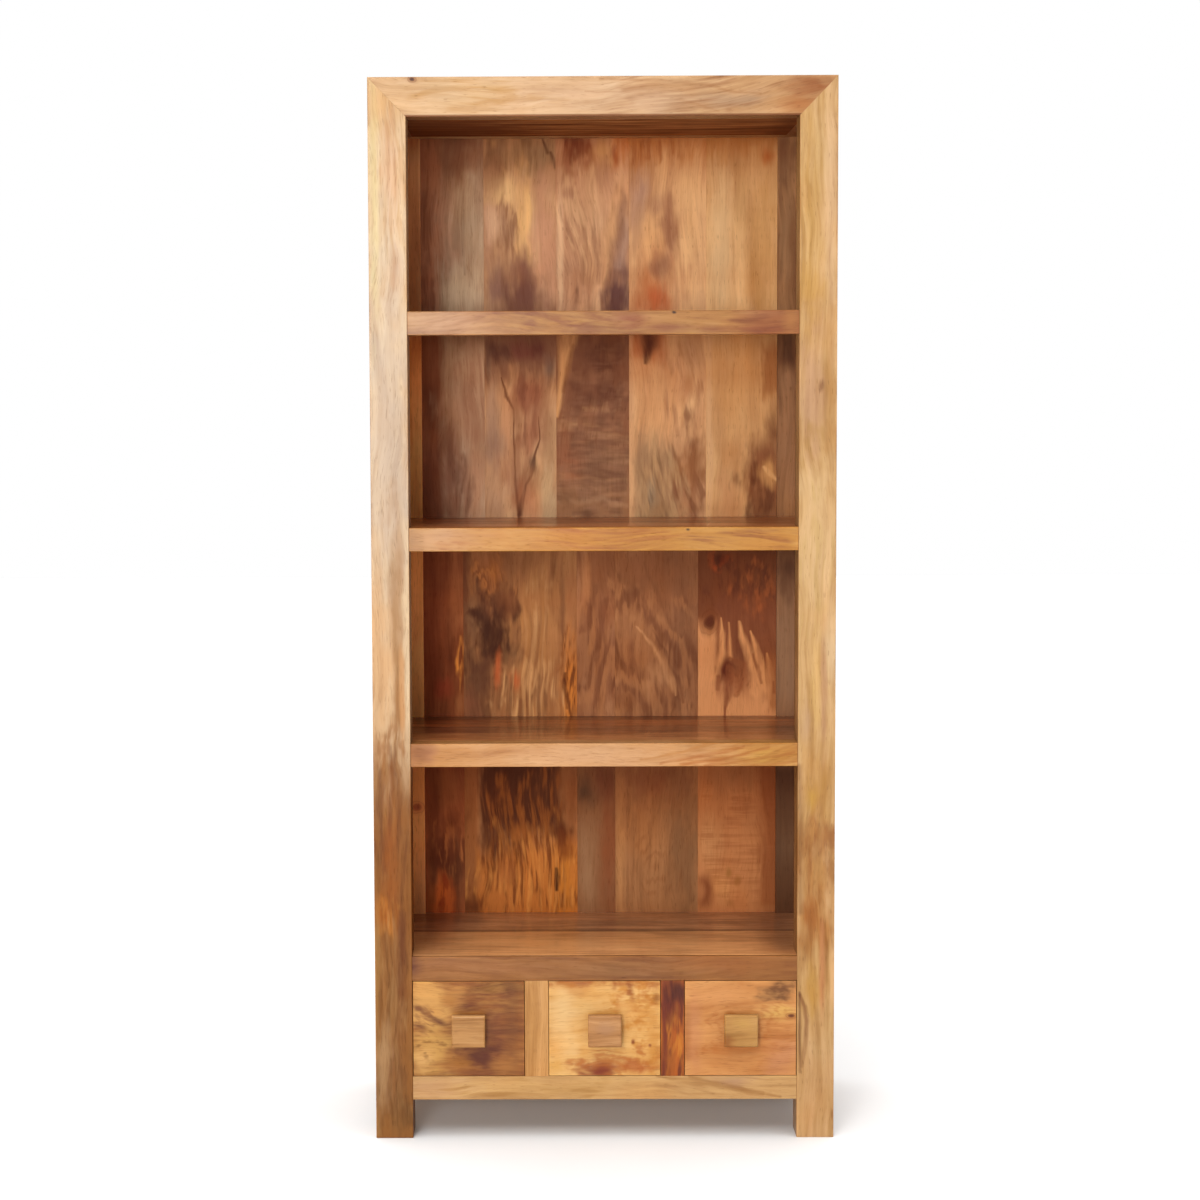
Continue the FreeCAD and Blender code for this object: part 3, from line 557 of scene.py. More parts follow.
def steel(name):
    g = Graph(name)
    n = g.noise(g.p, (900.0, 900.0, 900.0))
    big = g.noise(g.p, (120.0, 120.0, 120.0))
    col = g.ramp(g.clamp(big * 0.7 + n * 0.3), [(0.3, linear((120, 116, 108))), (0.7, linear((176, 172, 160)))])
    p = g.t.nodes.new("ShaderNodeBsdfPrincipled")
    g.put(col, p.inputs["Base Color"])
    p.inputs["Metallic"].default_value = 1.0
    g.put(g.clamp(n * 0.25 + 0.25), p.inputs["Roughness"])
    g.put(g.bump(n, 0.2, 0.0001), p.inputs["Normal"])
    g.t.links.new(p.outputs[0], g.out.inputs[0])
    return g.mat


# --------------------------------------------------------------------------
# Putting materials and eased edges on the nodes
# --------------------------------------------------------------------------
def bx(node, axis=None, lo=None, hi=None):
    v = [x.co for x in NODES[node].data.vertices]
    a = [min(c[i] for c in v) for i in range(3)]
    b = [max(c[i] for c in v) for i in range(3)]
    if axis:
        i = "xyz".index(axis)
        a[i] = a[i] if lo is None else max(a[i], lo)
        b[i] = b[i] if hi is None else min(b[i], hi)
    return a, b


def boards_of(me, split, cuts):
    if split is None:
        return [0] * len(me.polygons)
    i = "xyz".index(split)
    # a face on a cut belongs to the board on the side it faces away from
    return [sum(1 for k in cuts if p.center[i] - p.normal[i] * 0.0004 > k) for p in me.polygons]


def dress(node, mats, split=None, cuts=()):
    """one material, or one per board where the boards lie between the cuts on an axis"""
    me = NODES[node].data
    me.materials.clear()
    for m in mats:
        me.materials.append(m)
    for p, b in zip(me.polygons, boards_of(me, split, cuts)):
        p.material_index = min(b, len(mats) - 1)
        p.use_smooth = False


def ease(node, width, along=None, ends=0.25, split=None, cuts=(), feet=False):
    """eased edges: the imported faces are welded, board by board, and sharp edges rounded; edges
    that run along the piece get the full width, those at its joints a part of it"""
    o = NODES[node]
    me = o.data
    which = boards_of(me, split, cuts)
    n = max(which) + 1
    key = lambda v: (round(v.co.x, 5), round(v.co.y, 5), round(v.co.z, 5))
    normals = {}
    for p, b in zip(me.polygons, which):
        for e in p.edge_keys:
            k = (b,) + tuple(sorted((key(me.vertices[e[0]]), key(me.vertices[e[1]]))))
            normals.setdefault(k, []).append(p.normal.copy())
    board_of_edge = {}
    for p, b in zip(me.polygons, which):
        for e in p.edge_keys:
            board_of_edge[e] = b
    att = me.attributes.get("bevel_weight_edge") or me.attributes.new("bevel_weight_edge", "FLOAT", "EDGE")
    w = [0.0] * len(me.edges)
    for i, e in enumerate(me.edges):
        va, vb = me.vertices[e.vertices[0]], me.vertices[e.vertices[1]]
        d = vb.co - va.co
        L = d.length
        if L < 0.0036:
            continue
        k = (board_of_edge.get(tuple(sorted(e.vertices)), 0),) + tuple(sorted((key(va), key(vb))))
        ns = normals.get(k, [])
        if len(ns) != 2 or ns[0].dot(ns[1]) > 0.85:
            continue
        u = [abs(c) / L for c in d]
        if along is None:
            w[i] = 1.0
        elif u["xyz".index(along)] > 0.995 or (feet and max(va.co.z, vb.co.z) < 0.002):
            w[i] = 1.0
        else:
            w[i] = ends
    att.data.foreach_set("value", w)
    if n == 1:
        m = o.modifiers.new("weld", "WELD")
        m.merge_threshold = 0.00001
    else:
        for b in range(n):
            vg = o.vertex_groups.new(name="board%d" % b)
            ids = sorted({v for p, q in zip(me.polygons, which) if q == b for v in p.vertices})
            vg.add(ids, 1.0, "REPLACE")
            m = o.modifiers.new("weld%d" % b, "WELD")
            m.merge_threshold = 0.00001
            m.vertex_group = vg.name
    m = o.modifiers.new("ease", "BEVEL")
    m.width, m.segments = width, 2
    m.limit_method = "WEIGHT"
    m.use_clamp_overlap = False


# --------------------------------------------------------------------------
# The frame
# --------------------------------------------------------------------------
metal = steel("zinc")

POST_SIDE = ("x", 0.3988, 0.3998, ((212, 168, 124), (190, 142, 98), (140, 94, 60)), (1.25, 0.02))
BACK_SIDE = ("y", 0.2035, 0.2075)
INNER = (("x", 0.3364, 0.3352, (0.76, 0.66, 0.57)),)
UPPER_FALL = ((136, 0.54), (147, 0.70), (165, 0.78), (178, 0.91), (194, 1.02), (226, 1.12), (262, 1.09), (278, 1.03), (300, 1.14),
              (330, 1.10), (335, 0.70), (347, 0.79), (360, 0.83), (377, 0.84), (395, 0.99), (415, 1.04), (450, 1.07), (490, 1.11),
              (509, 1.05), (524, 1.14))
LOWER_FALL = ((549, 0.90, 1.0), (558, 0.86, 1.0), (585, 0.85, 1.0), (600, 1.02, 1.0), (618, 1.12), (640, 1.04), (660, 0.98),
              (680, 1.04), (716, 1.05), (766, 0.70), (796, 0.75), (810, 0.83), (830, 1.0), (848, 1.10), (875, 1.15), (898, 1.08),
              (912, 0.95))
STRIP_L_FALL = ((139, 0.55), (165, 1.0), (311, 1.05), (335, 0.55), (350, 0.66), (378, 0.96), (524, 1.05), (549, 0.92), (580, 1.0),
                (716, 1.05), (766, 0.70), (800, 0.80), (825, 1.05), (912, 1.05))
STRIP_R_FALL = ((118, 0.90), (139, 1.10), (160, 1.20), (230, 1.12), (290, 1.10), (311, 1.25), (335, 0.80), (360, 0.74), (380, 1.0),
                (524, 1.0), (549, 0.72), (580, 0.80), (600, 0.96), (640, 1.08), (690, 1.05), (716, 0.85), (766, 0.58), (785, 0.62),
                (800, 0.80), (825, 1.0), (848, 1.20), (880, 0.95), (908, 0.72))
dress("front_post_left", [wood(
    "post_left", "z", (CREAM, (234, 200, 158), (212, 172, 132)), lit=L_POST, spec=0.07, coat=0.05, streak=0.65, streak_scale=80, fibre=0.5,
    mottle=0.4, box=bx("front_post_left"), rear=POST_SIDE, dims=INNER, marks=[
        Patch(392, 92, 34, 30, (236, 190, 136), 0.85, 0.6, 0.3),
        Flecks(394, 210, 16, 110, (218, 172, 122), 0.6, 110, 8, 0.52, 0.08, 0.08),
        Flecks(388, 240, 18, 130, (244, 220, 184), 0.5, 100, 9, 0.54, 0.08, -0.06),
        Patch(396, 270, 6, 26, (226, 178, 140), 0.5, 0.8, 0.4),
        Flecks(392, 430, 18, 150, (216, 182, 150), 0.5, 110, 8, 0.53, 0.08),
        Patch(384, 440, 30, 150, PALE, 0.75, 0.8, 0.35),
        Patch(396, 470, 7, 90, (206, 182, 156), 0.55, 0.8, 0.4),
        Patch(392, 175, 8, 45, (232, 184, 150), 0.45, 0.8),
        Patch(374, 200, 4, 110, (236, 214, 150), 0.5, 0.8),
        Patch(395, 640, 6, 120, (188, 142, 98), 0.8, 0.6, 0.4),
        Patch(385, 664, 8, 50, (238, 194, 148), 0.8, 0.8, 0.4), Patch(399, 706, 5, 20, (186, 134, 88), 0.75, 0.8, 0.4),
        Patch(399, 670, 5, 26, (186, 136, 90), 0.75, 0.8, 0.4), Patch(386, 773, 9, 13, (150, 96, 52), 0.6, 0.8, 0.5),
        Patch(402, 690, 3, 52, (238, 184, 132), 0.85, 0.4, 0.3),
        Patch(376, 660, 9, 100, (240, 192, 142), 0.7, 0.6, 0.3),
        Patch(399, 574, 5, 62, (196, 154, 114), 0.8, 0.7, 0.3),
        Shade(700, 830, (176, 122, 72), 0.9, wander=20),
        Shade(750, 860, (160, 104, 56), 0.8, wander=20),
        Flecks(388, 752, 16, 26, (172, 112, 50), 0.6, 120, 26, 0.52, 0.08),
        Flecks(392, 800, 18, 50, (196, 142, 86), 0.6, 120, 14, 0.53, 0.08),
        Patch(391, 850, 8, 50, (176, 104, 44), 0.7, 0.8),
        Patch(398, 800, 6, 30, (170, 112, 66), 0.6, 0.7),
        Shade(925, 960, (162, 108, 66), 0.85, wander=14),
        Patch(384, 914, 14, 18, (190, 112, 46), 0.85, 0.7, 0.7),
        Flecks(388, 915, 18, 26, (206, 136, 70), 0.7, 110, 20, 0.52, 0.07),
        Patch(397, 1012, 7, 46, (128, 84, 58), 0.6, 0.8, 0.4),
        Patch(378, 1062, 7, 28, (180, 128, 82), 0.8, 0.6, 0.5),
        Patch(390, 1075, 16, 34, (142, 96, 66), 0.6, 0.6, 0.5),
        Patch(398, 1112, 10, 22, (136, 94, 60), 0.6, 0.6),
        Flecks(390, 1000, 24, 130, (118, 76, 44), 0.5, 130, 12, 0.55, 0.08),
        Flecks(386, 1020, 20, 110, (182, 130, 82), 0.5, 110, 12, 0.54, 0.08),
        Patch(376, 960, 4, 60, (180, 130, 80), 0.7, 0.8, 0.4),
        Flecks(394, 1080, 18, 60, (112, 72, 42), 0.5, 110, 14, 0.53, 0.08),
        Patch(402, 950, 6, 46, (118, 70, 38), 0.8, 0.7, 0.4),
        Patch(384, 1062, 8, 32, (188, 140, 98), 0.8, 0.7, 0.5),
        Flecks(390, 830, 22, 70, (124, 78, 42), 0.5, 120, 11, 0.54, 0.08),
    ])])

dress("front_post_right", [wood(
    "post_right", "z", ((232, 186, 140), (216, 170, 118), (188, 138, 88)), lit=R_POST, streak=0.55, streak_scale=70,
    fibre=0.5, mottle=0.4, box=bx("front_post_right"), rear=POST_SIDE, dims=INNER, marks=[
        Flecks(818, 230, 18, 150, (198, 146, 88), 0.5, 110, 8, 0.54, 0.08),
        Flecks(820, 200, 16, 110, (240, 196, 146), 0.5, 100, 7, 0.55, 0.08),
        Patch(812, 210, 9, 90, (214, 166, 100), 0.5, 0.8, 0.4),
        Patch(832, 200, 6, 130, (236, 192, 150), 0.7, 0.6, 0.3),
        Patch(812, 292, 10, 24, (212, 156, 84), 0.6, 0.8),
        Patch(812, 385, 12, 66, (204, 154, 114), 0.8, 0.6, 0.4),
        Patch(830, 395, 5, 60, (190, 136, 82), 0.7, 0.6),
        Patch(821, 385, 3, 5, (148, 100, 66), 0.7, 0.6, 0.6),
        Flecks(812, 455, 14, 30, (186, 138, 82), 0.6, 90, 24, 0.52, 0.09),
        Patch(818, 545, 20, 70, (228, 184, 130), 0.75, 0.6, 0.4),
        Flecks(816, 570, 18, 60, (200, 158, 96), 0.5, 120, 8, 0.55),
        Patch(832, 632, 2.5, 2.5, (170, 118, 76), 0.8, 0.6),
        Patch(832, 648, 7, 40, (234, 196, 148), 0.85, 0.7, 0.3),
        Patch(818, 832, 14, 15, (160, 104, 58), 0.7, 0.8, 0.5), Patch(804, 940, 7, 26, (168, 112, 60), 0.75, 0.8, 0.4),
        Patch(816, 680, 6, 44, (224, 178, 108), 0.5, 0.8),
        Patch(824, 690, 3, 70, (206, 156, 118), 0.6, 0.6),
        Patch(806, 722, 5, 20, (206, 164, 124), 0.7, 0.6),
        Patch(818, 790, 17, 36, (200, 148, 84), 0.8, 0.7, 0.5),
        Patch(812, 800, 5, 12, (214, 164, 82), 0.7, 0.6),
        Patch(818, 852, 18, 36, (184, 128, 76), 0.85, 0.7, 0.5),
        Flecks(822, 850, 16, 36, (164, 104, 58), 0.6, 90, 26, 0.52, 0.09),
        Flecks(814, 856, 14, 34, (206, 152, 92), 0.6, 90, 20, 0.53, 0.09),
        Patch(818, 915, 16, 32, (188, 124, 66), 0.85, 0.6, 0.5),
        Patch(812, 915, 6, 14, (172, 106, 44), 0.8, 0.6, 0.5),
        Flecks(818, 920, 15, 50, (160, 104, 52), 0.6, 110, 12, 0.55),
        Patch(822, 965, 3, 46, (206, 142, 98), 0.8, 0.5, 0.3),
        Patch(812, 985, 7, 30, (198, 148, 74), 0.7, 0.6),
        Line([(800, 994, 1.2), (805, 1006, 1.6), (807, 1020, 1.8), (805, 1040, 1.6), (801, 1066, 1.2)], (142, 92, 58), 0.75, 0.8),
        Patch(815, 1090, 20, 52, (204, 154, 106), 0.6, 0.7, 0.3),
        Patch(832, 1115, 1.5, 5, (160, 112, 70), 0.7, 0.5),
        Line([(799.5, 992, 0.8), (799.6, 1072, 0.8)], (112, 70, 42), 0.6, 0.5),
        Line([(800, 766, 2.0), (800.5, 840, 2.4), (800.5, 912, 2.4)], (150, 102, 60), 0.6, 0.8, 0.8),
    ])])

dress("top_front_rail", [wood(
    "top_rail", "x", ((236, 192, 146), (226, 178, 130), (196, 146, 102)), lit=L_TOP, tint=(1.09, 1.15, 1.26), streak=0.5, streak_scale=70,
    fibre=0.5, mottle=0.3, tilt=0.05, bow=(-0.05, 0.22), box=bx("top_front_rail"), dims=(("z", 1.7730, 1.7712, (0.42, 0.28, 0.20)),), marks=[
        Patch(440, 96, 70, 20, (234, 188, 134), 0.6, 0.8, 0.3),
        Knot(412, 79, 3.2, 2.0, (96, 50, 28), (170, 112, 66), 2.0, 0.5),
        Flecks(480, 90, 60, 14, (206, 152, 92), 0.6, 130, 7, 0.54),
        Shade(660, 800, (206, 154, 108), 0.75, "x", 26),
        Patch(590, 96, 70, 16, (230, 186, 146), 0.6, 0.8, 0.3),
        Patch(735, 100, 34, 8, (182, 146, 116), 0.75, 0.7, 0.4),
        Flecks(700, 92, 90, 16, (164, 110, 72), 0.6, 120, 6, 0.54),
        Patch(665, 88, 40, 6, (206, 150, 104), 0.6, 0.6),
        Patch(812, 84, 24, 9, (168, 104, 56), 0.85, 0.7, 0.6),
        Patch(800, 103, 16, 10, (184, 118, 68), 0.7, 0.6, 0.4),
        Line([(600, 78, 0.8), (680, 82, 1.2), (760, 93, 0.8)], (176, 120, 80), 0.4, 2.0, 0.75),
        Line([(585, 90, 0.7), (650, 94, 1.2), (720, 108, 0.8)], (182, 126, 86), 0.35, 2.0, 0.75),
        Flecks(690, 94, 100, 16, (184, 130, 92), 0.4, 90, 8, 0.53, 0.08, 0.10),
        Patch(650, 104, 24, 12, (232, 188, 146), 0.6, 0.8, 0.3),
        Flecks(480, 94, 110, 16, (242, 200, 156), 0.5, 90, 8, 0.54, 0.08, -0.12),
        Flecks(470, 98, 70, 12, (206, 150, 92), 0.5, 90, 8, 0.54, 0.07, -0.15),
    ])])


def rear_post(n):
    return wood(n, "z", ((212, 168, 124), (190, 142, 98), (140, 94, 60)), lit=(1.2, 0.02), face=None, streak=0.5,
                fibre=0.5, box=bx(n), rough=0.46)


for n in ("rear_post_left", "rear_post_right"):
    dress(n, [rear_post(n)])

dress("back_stile_left", [wood(
    "stile_back_left", "z", ((140, 92, 58), (114, 72, 46), (78, 44, 28)), plane=STRIP, spec=0.05, coat=0.0,
    lit=((311, (.165, .13, .135), 0.0), (335, (.228, .225, .26), 0.0), (716, (.224, .217, .225), 0.0), (765, (.216, .19, .182), 0.0)), streak=0.5,
    streak_scale=90, fibre=0.5, mottle=0.3, box=bx("back_stile_left"), edge_wear_and_highlight=0.2, fall=STRIP_L_FALL, rear=BACK_SIDE + POST_SIDE[3:], marks=[
        Patch(412, 230, 12, 130, (92, 50, 28), 0.85, 0.5, 0.3),
        Shade(330, 345, (150, 92, 48), 0.75, wander=4),
        dict(kind="zone", at=(414, 365), r=(14, 28), s=(3, 14), colour=(130, 78, 42), amount=0.8, ragged=0.3),
        # painted light: the bright zones low in bays 2, 3 and 4 stand in for light on this strip
        dict(kind="zone", at=(414, 475), r=(14, 52), s=(3, 24), colour=(186, 132, 78), amount=0.85, ragged=0.4),
        Patch(410, 640, 8, 90, (166, 104, 62), 0.6, 0.7, 0.3),
        dict(kind="zone", at=(414, 684), r=(14, 46), s=(3, 26), colour=(196, 136, 80), amount=0.85, ragged=0.4),
        dict(kind="zone", at=(414, 890), r=(14, 46), s=(3, 26), colour=(192, 122, 74), amount=0.85, ragged=0.4),
        Knot(417, 808, 4.5, 4.0, (84, 38, 20), (108, 58, 32), 2.4, 0.8, 0.85),
        Flecks(412, 420, 10, 100, (112, 64, 34), 0.6, 120, 8, 0.54),
    ])])
dress("back_stile_right", [wood(
    "stile_back_right", "z", ((134, 94, 64), (110, 74, 50), (76, 46, 32)), plane=STRIP, spec=0.05, coat=0.0,
    lit=((311, (.645, .67, .84), 0.0), (335, (.624, .68, .83), 0.0), (548, (.513, .65, .79), 0.0), (716, (.513, .65, .79), 0.0), (765, (.54, .715, .925), 0.0)), streak=0.5,
    streak_scale=90, fibre=0.5, mottle=0.3, box=bx("back_stile_right"), edge_wear_and_highlight=0.2, fall=STRIP_R_FALL, rear=BACK_SIDE + POST_SIDE[3:], marks=[
        # painted shade: the dark patches at the top of bays 1, 2 and 3 (y 150, 345, 566)
        Patch(786, 150, 14, 26, (74, 42, 26), 0.8, 0.8),
        Patch(788, 235, 9, 46, (110, 78, 56), 0.75, 0.7, 0.3),
        Patch(794, 270, 4, 60, (92, 56, 34), 0.7, 0.6, 0.3),
        Patch(788, 450, 10, 80, (118, 90, 68), 0.7, 0.7, 0.3),
        Patch(786, 345, 14, 24, (62, 38, 26), 0.75, 0.8),
        Shade(540, 560, (104, 84, 66), 0.8, wander=6),
        Patch(786, 566, 14, 24, (62, 42, 30), 0.75, 0.8),
        Shade(755, 775, (66, 48, 34), 0.9, wander=4),
    ])])

# --------------------------------------------------------------------------
# The boarded back, above: five boards through bays 1 and 2
# --------------------------------------------------------------------------
P1, F1, N1, Z1 = spans(115)
P2, F2, N2, Z2 = spans(335)
P3, F3, N3, Z3 = spans(548)
P4, F4, N4, Z4 = spans(765)
QUIET = dict(plane=BACK, spec=0.03, coat=0.0, rough=0.52, edge_wear_and_highlight=0.12)
cuts_u = (-0.2135, -0.080, 0.0555, 0.1985)
edges_u = (None,) + cuts_u + (None,)
ub = [bx("back_panel_upper", "x", edges_u[i], edges_u[i + 1]) for i in range(5)]
upper = [
    wood("back_a", "z", fall=UPPER_FALL, rear=BACK_SIDE + (((190, 152, 118), (164, 124, 92), (122, 84, 58)), (1.3, 0.02)), base=((160, 130, 104), (128, 94, 70), (98, 62, 44)), lit=((311, (0.575, 0.552, 0.561), 0.0), (335, (0.616, 0.704, 0.793), 0.0)), streak=0.35, fibre=0.5,
         mottle=0.3, box=ub[0], marks=[
             P1(110, 330, 10, 290, (96, 58, 38), 0.9, 0.6),
             P1(60, 190, 40, 330, (100, 62, 42), 0.8, 0.6),
             Z1(20, 138, 60, 800, (132, 80, 54), 0.9, 26, 60, 0.5),
             P1(60, 110, 200, 560, (118, 68, 42), 0.7, 0.7),
             P1(120, 200, 300, 520, (134, 88, 64), 0.75, 0.8),
             P1(130, 230, 500, 640, (126, 84, 62), 0.6, 0.8),
             P1(200, 330, 250, 640, (134, 106, 82), 0.8, 0.7),
             P1(140, 330, 600, 820, (152, 124, 98), 0.85, 0.6),
             F1(150, 300, 260, 560, (104, 74, 54), 0.5, 120, 6),
             P1(70, 130, 640, 780, (134, 76, 50), 0.7, 0.7),
             F1(60, 140, 120, 780, (84, 46, 30), 0.5, 120, 8),
             N1([(236, 380, 4), (232, 520, 5), (240, 640, 4)], (110, 84, 64), 0.6),
             # bay 2
             Z2(20, 146, -20, 800, (102, 54, 30), 0.9, 18, 30, 0.4),
             P2(76, 140, 180, 370, (66, 32, 17), 0.75, 0.7),
             P2(190, 330, 30, 230, (152, 124, 100), 0.85, 0.7),
             P2(140, 320, 220, 430, (140, 106, 82), 0.75, 0.7),
             P2(120, 250, 420, 780, (112, 74, 56), 0.85, 0.7),
             P2(60, 140, 440, 780, (92, 50, 32), 0.85, 0.6),
             P2(240, 330, 440, 780, (142, 104, 78), 0.75, 0.6),
             P2(130, 330, -40, 40, (98, 66, 46), 0.6, 0.8),
             F2(140, 330, 60, 420, (118, 82, 62), 0.5, 90, 6),
             F2(100, 260, 440, 760, (82, 48, 34), 0.5, 90, 8),
             Patch(446, 436, 8, 22, (90, 50, 30), 0.6, 0.8, 0.5), Patch(478, 160, 12, 14, (106, 66, 44), 0.6, 0.8, 0.5),
         ], **QUIET),
    wood("back_b", "z", fall=UPPER_FALL, rear=BACK_SIDE + (((212, 166, 118), (186, 138, 94), (138, 92, 60)), (1.3, 0.02)), base=((208, 162, 114), (180, 130, 88), (132, 88, 62)),
         lit=((311, (0.895, 0.872, 0.823), 0.0), (335, (0.936, 0.927, 0.887), 0.0)), streak=0.35, fibre=0.5,
         mottle=0.3, box=ub[1], wander=1.3, marks=[
             P1(310, 620, 60, 240, (150, 112, 76), 0.8, 0.6),
             P1(440, 600, 90, 220, (150, 114, 78), 0.5, 0.8),
             F1(310, 600, 60, 240, (118, 80, 48), 0.5, 130, 10, 0.53, 0.08),
             P1(300, 360, 280, 620, (164, 114, 82), 0.75, 0.7),
             P1(335, 450, 240, 350, (218, 170, 112), 0.9, 0.6),
             P1(430, 505, 270, 600, (206, 152, 92), 0.8, 0.6),
             P1(480, 506, 270, 620, (220, 166, 102), 0.75, 0.6, 0.35),
             P1(510, 620, 310, 790, (184, 128, 92), 0.85, 0.5),
             F1(370, 470, 340, 560, (140, 92, 60), 0.75, 120, 22, 0.52),
             P1(392, 446, 400, 510, (130, 86, 58), 0.6, 0.7),
             P1(325, 410, 590, 800, (126, 86, 68), 0.9, 0.5, 0.3),
             P1(395, 555, 610, 860, (104, 62, 48), 0.95, 0.45, 0.35),
             P1(420, 500, 560, 660, (122, 76, 58), 0.8, 0.7),
             N1([(552, 100, 4), (570, 150, 7)], (88, 50, 28), 0.75, 0.6, 0.6), N1([(584, 150, 5), (604, 206, 8)], (88, 50, 28), 0.75, 0.6, 0.6),
             P1(345, 365, 100, 140, (188, 138, 88), 0.6),
             # bay 2
             Z2(300, 620, -90, 165, (120, 76, 54), 0.88, 30, 90, 0.9),
             P2(400, 555, 20, 110, (116, 64, 50), 0.8, 0.6),
             P2(322, 414, 34, 92, (84, 48, 36), 0.75, 0.8, 0.6, -0.5),
             P2(500, 560, 10, 100, (96, 50, 38), 0.7, 0.8, 0.6, 0.4),
             P2(320, 340, 40, 180, (86, 62, 50), 0.5), P2(556, 604, 90, 190, (112, 92, 78), 0.6, 0.8),
             P2(318, 380, 150, 470, (158, 118, 90), 0.7, 0.7),
             P2(380, 432, 220, 560, (188, 132, 90), 0.85, 0.5),
             P2(430, 560, 175, 320, (138, 80, 54), 0.9, 0.45, 0.3),
             P2(450, 550, 300, 500, (156, 98, 66), 0.8, 0.6),
             F2(440, 550, 200, 480, (112, 62, 42), 0.55, 90, 14),
             P2(318, 430, 540, 790, (170, 126, 92), 0.8, 0.6),
             P2(320, 400, 380, 520, (126, 92, 76), 0.55, 0.8),
             P2(545, 612, 260, 560, (160, 118, 80), 0.75, 0.5),
             P2(530, 612, 540, 800, (180, 144, 104), 0.9, 0.4, 0.3),
             P2(440, 510, 560, 720, (150, 88, 54), 0.85, 0.5),
             P2(475, 540, 620, 780, (182, 122, 82), 0.8, 0.6),
             N2([(385, 172, 2), (398, 215, 4), (404, 246, 7), (420, 272, 4), (432, 300, 3), (437, 400, 2.5), (438, 520, 3),
                 (444, 600, 5), (452, 690, 6), (460, 770, 5)], (96, 48, 26), 0.8, 0.8, 0.6),
             P2(420, 462, 260, 790, (128, 74, 46), 0.5, 0.7, 0.4),
             N2([(535, 330, 2), (540, 420, 3), (520, 482, 5), (512, 530, 9), (506, 562, 5), (482, 600, 5), (468, 660, 7),
                 (458, 720, 8)], (92, 48, 30), 0.85, 0.6, 0.4),
             P2(498, 530, 480, 560, (70, 50, 38), 0.75, 0.7, 0.5),
             Patch(494, 224, 8, 18, (202, 154, 114), 0.75, 0.7, 0.4), Patch(542, 412, 10, 24, (146, 92, 62), 0.7, 0.8, 0.5),
             Patch(492, 180, 10, 18, (146, 100, 66), 0.7, 0.8, 0.5), Patch(530, 478, 9, 15, (136, 88, 58), 0.7, 0.8, 0.5),
             Patch(506, 472, 9, 16, (150, 100, 70), 0.7, 0.8, 0.5), Patch(488, 158, 10, 14, (110, 70, 44), 0.6, 0.8, 0.5),
         ], **QUIET),
    wood("back_c", "z", fall=UPPER_FALL, rear=BACK_SIDE + (((204, 152, 108), (174, 122, 84), (126, 80, 52)), (1.3, 0.02)), base=((204, 150, 110), (178, 124, 90), (138, 88, 64)),
         lit=((311, (0.866, 0.811, 0.831), 0.0), (335, (0.9, 0.86, 0.95), 0.0)), streak=0.4, fibre=0.5,
         mottle=0.35, box=ub[2], wander=1.3, marks=[
             P1(610, 760, 60, 230, (160, 94, 58), 0.85, 0.6),
             P1(640, 722, 60, 225, (122, 62, 36), 0.85, 0.7, 0.7),
             F1(640, 720, 90, 220, (104, 50, 28), 0.6, 150, 16, 0.52, 0.07),
             P1(712, 756, 90, 200, (122, 58, 32), 0.85, 0.6, 0.5),
             P1(745, 835, 90, 200, (198, 140, 88), 0.75, 0.6),
             P1(828, 856, 140, 208, (136, 66, 36), 0.85, 0.6, 0.5),
             Z1(832, 940, -20, 160, (190, 108, 52), 0.85, 20, 80, 0.7),
             P1(610, 636, 240, 800, (212, 162, 122), 0.7, 0.7, 0.35),
             F1(620, 780, 240, 520, (212, 160, 116), 0.5, 110, 7, 0.52, 0.05, 0.10),
             F1(690, 880, 260, 760, (150, 100, 70), 0.6, 100, 7, 0.52, 0.05, -0.14),
             P1(690, 800, 240, 620, (190, 138, 98), 0.6, 0.8),
             F1(640, 720, 320, 480, (138, 90, 64), 0.7, 90, 10, 0.52),
             F1(690, 790, 420, 760, (142, 94, 66), 0.65, 110, 10, 0.53),
             P1(800, 850, 300, 620, (196, 138, 92), 0.7, 0.6, 0.4, -0.15),
             P1(822, 892, 330, 600, (126, 84, 64), 0.8, 0.6, 0.4, -0.16),
             P1(795, 910, 640, 860, (88, 52, 48), 0.95, 0.45, 0.35),
             P1(835, 905, 560, 680, (110, 72, 62), 0.85, 0.6, 0.4),
             N1([(905, 420, 14), (880, 520, 18), (862, 600, 14)], (164, 124, 104), 0.5, 1.6, 0.7),
             F1(620, 790, 640, 800, (150, 96, 66), 0.5, 100, 9),
             # bay 2: dark, with bands across the grain
             Z2(560, 940, -20, 900, (126, 78, 56), 0.96, 12, 14, 0.3),
             P2(650, 900, -60, 300, (104, 60, 44), 0.8, 0.7),
             F2(640, 900, -40, 420, (84, 48, 36), 0.6, 26, 16, 0.50, 0.10),
             F2(620, 900, 60, 460, (152, 102, 76), 0.5, 20, 34, 0.54, 0.08),
             Z2(560, 940, 560, 900, (150, 102, 72), 0.7, 12, 60, 0.7),
             F2(610, 900, 520, 790, (88, 54, 40), 0.6, 20, 45, 0.52, 0.10),
             F2(610, 900, 300, 790, (178, 128, 92), 0.65, 14, 60, 0.54, 0.08),
             P2(600, 720, 420, 600, (148, 88, 62), 0.8, 0.7),
             P2(700, 900, 440, 560, (128, 88, 66), 0.7, 0.7),
             P2(700, 900, 600, 700, (146, 98, 70), 0.6, 0.8),
             F2(610, 900, 300, 780, (146, 100, 76), 0.55, 16, 70, 0.50, 0.10),
             F2(610, 900, 330, 780, (90, 52, 38), 0.5, 18, 60, 0.50, 0.10),
             F2(680, 900, 20, 340, (128, 84, 64), 0.5, 14, 60, 0.55),
                          N2([(620, 640, 6), (690, 668, 9), (780, 660, 9), (890, 690, 8)], (170, 124, 94), 0.4, 2.0, 0.75),
